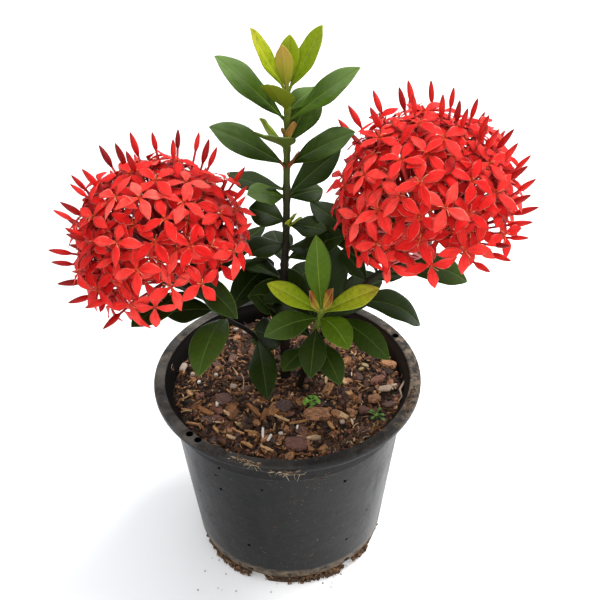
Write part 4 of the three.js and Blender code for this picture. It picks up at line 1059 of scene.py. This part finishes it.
HEADS = {
    "left": {
        "middle": (-69.1, -12, 238.9), "root": (-63, -11, 217.5), "stem": "left", "seed": 17,
        "open": (  # place of a flower's middle in the camera's view, and the turn of its petals
            (116, 197, 60), (140, 198, 27), (156, 181, 48), (186, 183, 10), (226, 179, 38), (183, 203, 74),
            (165, 219, 24), (219, 214, 41), (236, 210, 27), (117, 243, 81), (155, 242, 35), (190, 246, 70),
            (210, 246, 7), (233, 252, 18), (137, 270, 9), (171, 287, 27), (201, 284, 31), (131, 304, 16),
            (155, 307, 87), (98, 289, 45), (79, 272, 30)),
        "deep": ((186, 236, 15), (177, 250, 70), (160, 262, 40), (117, 259, 5), (188, 221, 40),
                 (199, 254, 10), (150, 258, 30), (204, 236, 60), (172, 264, 60), (120, 220, 20)),
        "buds": (  # place of a bud's tip in the camera's view
            (130, 132), (152, 132), (173, 139), (178, 129), (199, 132), (209, 139), (217, 147), (245, 167),
            (247, 186), (252, 223), (126, 151), (99, 145), (115, 143), (82, 169), (71, 175), (70, 184),
            (60, 202), (53, 210),
            (65, 228), (66, 234), (48, 250), (51, 262), (57, 284), (68, 303), (85, 308), (103, 329)),
    },
    "right": {
        "middle": (76.6, -12, 265.7), "root": (82, -10, 237.7), "stem": "right", "seed": 41,
        "open": (
            (379, 138, 45), (401, 160, 56), (419, 124, 30), (444, 138, 39), (428, 154, 40), (421, 182, 7),
            (364, 175, 56), (345, 186, 58), (378, 210, 27), (359, 216, 77), (401, 196, 37), (445, 208, 58),
            (419, 217, 67), (420, 240, 30), (377, 243, 15), (431, 265, 10), (464, 250, 5), (469, 213, 50),
            (472, 181, 75), (489, 163, 30), (496, 193, 50), (503, 234, 20)),
        "deep": ((430, 211, 30), (436, 240, 75), (421, 230, 10), (491, 171, 50), (406, 252, 20),
                 (395, 226, 60), (452, 232, 10), (436, 182, 30), (384, 186, 50), (480, 216, 10)),
        "buds": (
            (338, 119), (348, 105), (370, 107), (373, 90), (399, 87), (408, 80), (413, 94), (431, 80),
            (443, 94), (454, 87), (460, 100), (468, 108), (478, 98), (489, 115), (488, 125), (499, 129),
            (514, 129), (518, 143), (531, 155), (528, 166), (536, 179), (531, 195), (539, 207), (533, 222),
            (529, 238), (510, 246), (511, 261), (490, 272)),
    },
}
HEAD = {
    "face": 49.0, "tips": 61.0, "coverage": 122.0, "apart": 15.5, "behind": 9.5, "bud_apart": 14.0, "deep": 6,
    "forks": 9, "fork_spread": 95, "fork_length": (8, 13),
    "outer_places": 150, "inner_places": 240, "bud_places": 120,
}
PETAL = {"length": 12.6, "half_width": 3.1, "widest": 0.5, "thickness": 0.42, "throat": 1.0}
BUD = {"length": 12.0, "radius": 1.6}
BUD_SHARES = np.array((0, 0.08, 0.18, 0.3, 0.42, 0.55, 0.68, 0.8, 0.9, 0.97, 1))
BUD_SWELL = np.array((0.42, 0.62, 0.85, 0.98, 1.0, 0.93, 0.79, 0.6, 0.4, 0.2, 0.07))
BUD_STALK = (0.6, 0.56, 0.56, 0.9, 0.92, 0.6, 0.62, 0.64, 0.66, 0.7)  # radii from fork to bud
TUBE = (0.62, 0.58, 0.56, 0.56, 0.6, 0.95, 1.0, 0.72, 0.72, 0.74, 0.76, 0.78, 0.82, 0.95, 1.25)
GOLDEN_ANGLE = math.pi * (3 - math.sqrt(5))


def on_ball(x, y, centre, radius):
    """Where a sight line first meets a ball, or the line's nearest point to it."""
    direction = sight(x, y)
    offset = eye - centre
    half = offset.dot(direction)
    inside = half * half - offset.length_squared + radius * radius
    return eye + direction * (-half - math.sqrt(max(inside, 0.0)))


def spiral(count, axis, coverage, phase):
    """Even directions over a dome, from its axis out."""
    u = axis.orthogonal().normalized()
    v = axis.cross(u)
    lowest = math.cos(math.radians(coverage))
    for i in range(count):
        up = 1 - (1 - lowest) * (i + 0.5) / count
        out = math.sqrt(1 - up * up)
        angle = i * GOLDEN_ANGLE + phase
        yield axis * up + (u * math.cos(angle) + v * math.sin(angle)) * out


def petal(rng):
    """A petal that points along +X from its throat: its loops, and its coordinates at each point."""
    twist, droop, bow = math.radians(rng.normal(9, 17)), rng.normal(0, 0.15), rng.normal(0, 0.07)
    gutter = rng.normal(0, 0.16)
    long = PETAL["length"] * rng.normal(1, 0.035)
    wide = PETAL["half_width"] * rng.normal(1, 0.05)
    t = np.array((-1, -0.55, 0, 0.55, 1))
    loops, marks = [], []
    for s in np.array((0, 0.1, 0.24, 0.4, 0.55, 0.7, 0.84, 0.94, 1)):
        reach = abs(s - PETAL["widest"]) / (PETAL["widest"] if s < PETAL["widest"] else 1 - PETAL["widest"])
        half = max(wide * max(0.0, 1 - reach ** 1.6) ** 0.92, 0.75 * (1 - s) + 0.1)
        fold = half * (0.32 - 0.34 * s + gutter) * abs(t) ** 1.3
        lean = twist * (s - 0.1)
        y, z = t * half, fold + half * 0.1 * t * math.sin(3 * s)
        yy, zz = y * math.cos(lean) - z * math.sin(lean), y * math.sin(lean) + z * math.cos(lean)
        spine = long * (0.16 * s - (0.24 + droop) * s * s)
        thick = PETAL["thickness"] * (1 - 0.6 * t ** 2) * (1 - 0.4 * s)
        x = np.full(5, PETAL["throat"] + long * s)
        sway = long * bow * s * s
        top = np.stack([x, yy + sway, zz + spine + thick / 2], 1)
        low = np.stack([x, yy + sway, zz + spine - thick / 2], 1)
        loops.append(np.vstack([top, low[::-1][1:-1]]))
        marks.append(np.stack([np.full(8, s), np.concatenate([t, t[::-1][1:-1]]), [0] * 5 + [1] * 3]))
    return loops, np.concatenate(marks, axis=1)


def curve(start, heading, end, arriving, steps):
    """A bent path from a fork to a flower, leaving and arriving in given directions."""
    reach = (end - start).length
    first, second = start + heading * reach * 0.3, end - arriving * reach * 0.4
    for t in np.linspace(0, 1, steps):
        yield (start * (1 - t) ** 3 + first * 3 * t * (1 - t) ** 2
               + second * 3 * t * t * (1 - t) + end * t ** 3)


petal_paint = Paint("ixora_petal")
tipward, across, below, shade = [petal_paint.mark(name) for name in ("tipward", "across", "below", "shade")]
mottle = petal_paint.grain(3.0, 3, 0.6)
fine = petal_paint.grain(0.8, 3, 0.6)
colour = petal_paint.ramp(
    shade * 0.75 + mottle * 0.35 - 0.06, (0.0, "8a0507"), (0.25, "be1010"), (0.5, "dc221e"),
    (0.75, "ee3831"), (1.0, "f85c50"))
edge = abs(across).up(0.8, 1.0) * (1 - tipward.up(0.92, 1.0) * 0.4)
# Painted shade: each petal is painted darker red along its middle fold and toward its base.
crease_shade = (1 - abs(across).up(0.0, 0.16)) * (1 - tipward.up(0.2, 0.8))
colour = petal_paint.mix(edge * mottle.up(0.35, 0.6) * 0.5, colour, "ffac9c")
colour = petal_paint.mix(crease_shade * 0.45, colour, "9c0a0d")
colour = petal_paint.mix((1 - tipward.up(0.1, 0.75)) * 0.35, colour, "a80a0c")
colour = petal_paint.mix((1 - tipward.up(0.0, 0.16)) * 0.7, colour, "c8431f")
colour = petal_paint.mix(below.up(0.4, 0.6) * 0.5, colour, "b92a26")
furrows = abs((across * 3.5 + mottle * 0.6).wave() - 0.5)
waxy_petal = petal_paint.surface(
    Base_Color=colour, Roughness=0.42 + fine * 0.16,
    Normal=petal_paint.relief(fine, 0.05, petal_paint.relief(furrows, 0.12)),
    Specular_IOR_Level=0.08, Subsurface_Weight=0.15, Subsurface_Radius=(1.0, 0.25, 0.15),
    Subsurface_Scale=0.0012)

bud_paint = Paint("ixora_bud")
tipward, shade = bud_paint.mark("tipward"), bud_paint.mark("shade")
streaks = bud_paint.grain(2.2, 3, 0.6)
colour = bud_paint.ramp(
    shade + (streaks - 0.5) * 0.3, (0.0, "6e100e"), (0.35, "a61412"), (0.7, "cf221e"), (1.0, "e3342c"))
colour = bud_paint.mix(tipward.up(0.55, 1.0) * 0.6, colour, "6b2116")
waxy_bud = bud_paint.surface(
    Base_Color=colour, Roughness=0.38 + streaks * 0.12, Normal=bud_paint.relief(streaks, 0.15),
    Specular_IOR_Level=0.15,
    Subsurface_Weight=0.1, Subsurface_Radius=(1.0, 0.3, 0.2), Subsurface_Scale=0.001)

stalk_paint = Paint("flower_tube")
shade = stalk_paint.mark("shade")
streaks = stalk_paint.grain(2.0, 3, 0.6)
colour = stalk_paint.ramp(
    shade + (streaks - 0.5) * 0.2, (0.0, "4b2414"), (0.25, "701213"), (0.55, "a81a1a"), (1.0, "cf2c25"))
red_stalk = stalk_paint.surface(Base_Color=colour, Roughness=0.45, Normal=stalk_paint.relief(streaks, 0.1),
                                Specular_IOR_Level=0.3)

pollen = Paint("style_and_stamens")
shade = pollen.mark("shade")
colour = pollen.ramp(shade, (0.0, "c8432c"), (0.5, "e07f5c"), (1.0, "eebb95"))
colour = pollen.mix(pollen.grain(0.6).up(0.4, 0.7) * 0.3, colour, "b8642e")
pale_stamen = pollen.surface(Base_Color=colour, Roughness=0.55)

for side, head in HEADS.items():
    rng = np.random.default_rng(head["seed"])
    middle, root = Vector(head["middle"]), Vector(head["root"])
    lean = (middle - root).normalized()
    flowers = []
    for x, y, turn in head["open"]:
        flowers.append((on_ball(x, y, middle, HEAD["face"] + rng.normal(0, 1.2)), turn))
    for x, y, turn in head["deep"]:
        flowers.append((on_ball(x, y, middle, HEAD["face"] - HEAD["deep"]), turn))
    for way in spiral(HEAD["outer_places"], lean, HEAD["coverage"] - 8, head["seed"]):
        near = min(math.degrees(way.angle(centre - middle)) for centre, _ in flowers)
        if near > HEAD["apart"]:
            sunk = 3.5 if near < 26 else 1.0
            flowers.append((middle + way * (HEAD["face"] - sunk + rng.normal(0, 1.4)), rng.uniform(0, 90)))
    outer = len(flowers)
    for way in spiral(HEAD["inner_places"], lean, HEAD["coverage"] - 22, head["seed"] + 1.0):
        near = min(math.degrees(way.angle(centre - middle)) for centre, _ in flowers)
        if near > HEAD["behind"]:
            flowers.append((middle + way * (HEAD["face"] - rng.uniform(5, 8)), rng.uniform(0, 90)))
    tips = [on_ball(x, y, middle, HEAD["tips"] + rng.normal(0, 0.6)) for x, y in head["buds"]]
    toward_eye = (eye - middle).normalized()
    for way in spiral(HEAD["bud_places"], lean, HEAD["coverage"] - 14, head["seed"] + 2.0):
        near = min(math.degrees(way.angle(tip - middle)) for tip in tips)
        if near > HEAD["bud_apart"] and way.dot(toward_eye) < -0.3:
            tips.append(middle + way * (HEAD["tips"] - rng.uniform(0, 4)))
    fork_ways = spiral(HEAD["forks"], lean, HEAD["fork_spread"], head["seed"])
    forks = [root + way * rng.uniform(*HEAD["fork_length"]) for way in fork_ways]

    petals, stalks, stamens, buds = Growth(), Growth(), Growth(), Growth()
    stem_points = STEMS[head["stem"]][0]
    stem_end = Vector(stem_points[-1])
    onward = (stem_end - Vector(stem_points[-2])).normalized()
    trunk = list(curve(stem_end + onward * 0.3, onward, root, lean, 9))
    stalks.add(swept(trunk, np.linspace(1.8, 1.5, 9), 14), shade=0.05)
    for fork in forks:
        path = list(curve(root - lean * 0.5, lean, fork, (fork - root).normalized(), 6))
        stalks.add(swept(path, np.linspace(1.4, 0.95, 6), 10), shade=0.15)

    for number, (centre, turn) in enumerate(flowers):
        facing = ((centre - root).normalized() + (centre - middle).normalized() * 0.15 + Vector((0, 0, 0.06))
                  + Vector(rng.normal(0, 0.13, 3))).normalized()
        fork = min(forks, key=lambda f: (f - root).normalized().angle((centre - root).normalized()))
        path = list(curve(fork, (fork - root).normalized(), centre - facing * 0.5, facing, 15))
        # Tubes are darker toward the forks: partly their own colour, partly painted shade deep inside the
        # head.
        tube_tone_and_shade = 0.25 + 0.65 * np.repeat(np.linspace(0, 1, 15) ** 1.5, 8) + rng.normal(0, 0.04)
        stalks.add(swept(path, TUBE, 8), shade=tube_tone_and_shade)
        right = look @ Vector((1, 0, 0))
        u = (right - facing * right.dot(facing)).normalized()
        v = facing.cross(u)
        axes = np.array([u, v, facing])
        # Painted shade: flowers of the inner layer, behind the outer ones, are painted darker red.
        shade = rng.uniform(0.3, 1.0) if number < outer else rng.uniform(0.0, 0.6)
        for quarter in range(4):
            loops, marks = petal(rng)
            angle = math.radians(turn + 90 * quarter + rng.normal(0, 4))
            spin = np.array(((math.cos(angle), -math.sin(angle), 0), (math.sin(angle), math.cos(angle), 0),
                             (0, 0, 1)))
            points, faces = skin(loops)
            points = points @ spin.T @ axes + np.array(centre)
            petals.add((points, faces), tipward=marks[0], across=marks[1], below=marks[2],
                       shade=shade + rng.normal(0, 0.08))
        for quarter in rng.permutation(4)[:rng.integers(0, 3)]:
            angle = math.radians(turn + 45 + 90 * quarter + rng.normal(0, 10))
            out = u * math.cos(angle) + v * math.sin(angle)
            reach = rng.uniform(3.2, 5.2)
            path = [centre + out * reach * t + facing * (0.5 + 1.6 * math.sin(2.6 * t))
                    for t in np.linspace(0.1, 1, 5)]
            stamens.add(swept(path, [0.1, 0.1, 0.13, 0.2, 0.1], 5), shade=rng.uniform(0.0, 0.8))
        tip = centre + facing * rng.uniform(2.4, 4) + (u * rng.normal() + v * rng.normal()) * 0.5
        stamens.add(swept([centre - facing * 0.3, centre.lerp(tip, 0.6), tip], [0.16, 0.16, 0.3], 5),
                    shade=0.15)

    for tip in tips:
        facing = ((tip - root).normalized() + Vector(rng.normal(0, 0.03, 3))).normalized()
        size = rng.uniform(0.88, 1.18)
        base = tip - facing * BUD["length"] * size
        fork = min(forks, key=lambda f: (f - root).normalized().angle((base - root).normalized()))
        path = list(curve(fork, (fork - root).normalized(), base, facing, 10))
        # Bud stalks are darker toward the forks too: partly their own colour, partly painted shade.
        stalks.add(swept(path, BUD_STALK, 7), shade=0.2 + 0.35 * np.repeat(np.linspace(0, 1, 10), 7))
        spine = [base.lerp(tip, s) for s in BUD_SHARES]
        body = swept(spine, BUD["radius"] * size * BUD_SWELL, 12, lobes=0.07, twist=0.35)
        buds.add(body, tipward=np.repeat(BUD_SHARES, 12), shade=rng.uniform(0.05, 1.0))

    node = f"{side}_flower_head"
    petals.piece(f"{side}_petals", waxy_petal, "flower", [node])
    stalks.piece(f"{side}_flower_tubes", red_stalk, "flower", [node])
    stamens.piece(f"{side}_stamens", pale_stamen, "flower", [node])
    buds.piece(f"{side}_buds", waxy_bud, "flower", [node])

# ---- Weed seedlings ----
# Two seedlings that came up by themselves in the mix, each a few soft leaves on a stalk as thin as a pin.

SEEDLINGS = {
    "weed_seedling_1": {"at": (15, -22), "height": 7.5, "leaf": 5.8, "width": 4.6, "leaves": 7, "turn": 20,
                        "age": 0.55},
    "weed_seedling_2": {"at": (55, -33), "height": 6.0, "leaf": 6.0, "width": 2.6, "leaves": 8, "turn": 70,
                        "age": 0.25},
}
weed = Paint("seedling_leaf")
rib, age = weed.mark("rib"), weed.mark("age")
mottle = weed.grain(1.5, 3)
colour = weed.ramp(age + (mottle - 0.5) * 0.3, (0.1, "2c5417"), (0.35, "4f8420"), (0.6, "79a834"))
colour = weed.mix((1 - abs(rib).up(0.05, 0.3)) * 0.3, colour, "93b44f")
seedling_green = weed.surface(Base_Color=colour, Roughness=0.45, Normal=weed.relief(mottle, 0.15))
for name, plant in SEEDLINGS.items():
    rng = np.random.default_rng(plant["leaves"])
    px, py = plant["at"]
    ground = mix_height(px, py)
    top = ground + plant["height"]
    seedling = Growth()
    marks = {"along": 0.0, "tipward": 0.0, "rib": 5.0, "rim": 1.0, "below": 0.0, "age": plant["age"],
             "seed": 0.0}
    seedling.add(swept([(px, py, ground - 3), (px, py, ground + 3), (px, py, top)], [0.6, 0.5, 0.4], 8),
                 **marks)
    for i in range(plant["leaves"]):
        level = top - 0.5 - 2.2 * (i // 2) / max(1, plant["leaves"] // 2)
        turn = plant["turn"] + 180 * (i % 2) + 83 * (i // 2) + rng.normal(0, 8)
        leaf = Leaf(level, turn, 34 - 8 * (i // 2), plant["leaf"] * (0.75 + 0.12 * (i // 2)), plant["width"],
                    30, rng.normal(0, 10), plant["age"] + rng.normal(0, 0.08))
        blade(seedling, Vector((px, py, level)), leaf, rng, petiole=0.42, stalk=0.28, thickness=0.3)
    seedling.piece(f"{name}_plant", seedling_green, "seedling", [name])

# ---- Floor and light ----
# A white studio table with a soft shadow, under a large soft light from above, the right and the back,
# and white walls all round that show in the gloss of the pot and the leaves. The table also glows, more to
# the right and in front of the pot: painted light that lifts its shadow there.

floor_mesh = bpy.data.meshes.new("floor")
reach = 9.0
floor_mesh.from_pydata([(-reach, -reach, 0), (reach, -reach, 0), (reach, reach, 0), (-reach, reach, 0)], [],
                       [(0, 1, 2, 3)])
floor = bpy.data.objects.new("floor", floor_mesh)
bpy.context.scene.collection.objects.link(floor)
white = Paint("white_table")
east, north = [white.node("ShaderNodeSeparateXYZ", {}, {0: white.place()}, output=axis) / MM
               for axis in (0, 1)]
# Painted light: the table glows a little, more to the right and in front of the pot, lifting its shadow
# there.
glow_before_pot = (0 - north).up(55, 72) * east.up(-40, 0)
painted_floor_glow = white.mix(east.up(-70, 30) * 0.64 + glow_before_pot * 0.24, (0.02, 0.02, 0.02, 1), (0.45, 0.45, 0.44, 1))
floor_mesh.materials.append(white.surface(
    Base_Color=(0.9, 0.9, 0.91, 1), Roughness=0.6, Specular_IOR_Level=0.2, Emission_Color=painted_floor_glow,
    Emission_Strength=1.0))

loose = Growth()
SPILT = (  # places of loose crumbs on the table, in the camera's view
    (205, 571), (226, 574), (218, 588), (222, 590), (236, 591), (271, 592), (323, 583), (331, 587),
    (332, 583), (212, 558), (219, 560), (377, 533), (371, 548), (341, 574), (198, 590), (347, 566),
)
for px, py in SPILT:
    points, faces = pebble(draw.uniform(0.5, 1.3))
    loose.add((points + np.array((*on_mix(px, py, 0.5), 0.5)), faces))
loose.piece("spilt_crumbs", earth_brown, None)

sky = Paint("studio", bpy.data.worlds.new("studio"))
toward = sky.node("ShaderNodeTexCoord", output="Generated")
backward, overhead = [sky.node("ShaderNodeSeparateXYZ", {}, {0: toward}, output=axis) for axis in (1, 2)]
brightness = 0.3 + overhead.up(0.0, 0.95) * 0.95 + backward.up(-0.1, 0.9) * 0.45
bpy.context.scene.world = sky.surface(Color=(0.96, 0.98, 1.0, 1), Strength=brightness)


def softbox(name, place, size, power):
    """A round soft light that faces the plant."""
    light = bpy.data.lights.new(name, "AREA")
    light.shape, light.size, light.energy = "DISK", size, power
    lamp = bpy.data.objects.new(name, light)
    lamp.location = place
    lamp.rotation_euler = (Vector((0, 0, 0.2)) - Vector(place)).to_track_quat("-Z", "Y").to_euler()
    bpy.context.scene.collection.objects.link(lamp)


LIGHTS = {"key_light": ((0.6, 0.35, 1.5), 0.7, 23), "front_fill": ((-0.15, -1.5, 1.0), 1.4, 8)}
for name, (place, size, power) in LIGHTS.items():  # place and size in metres, power in watts
    softbox(name, place, size, power)
bpy.context.scene.view_settings.view_transform = "Standard"
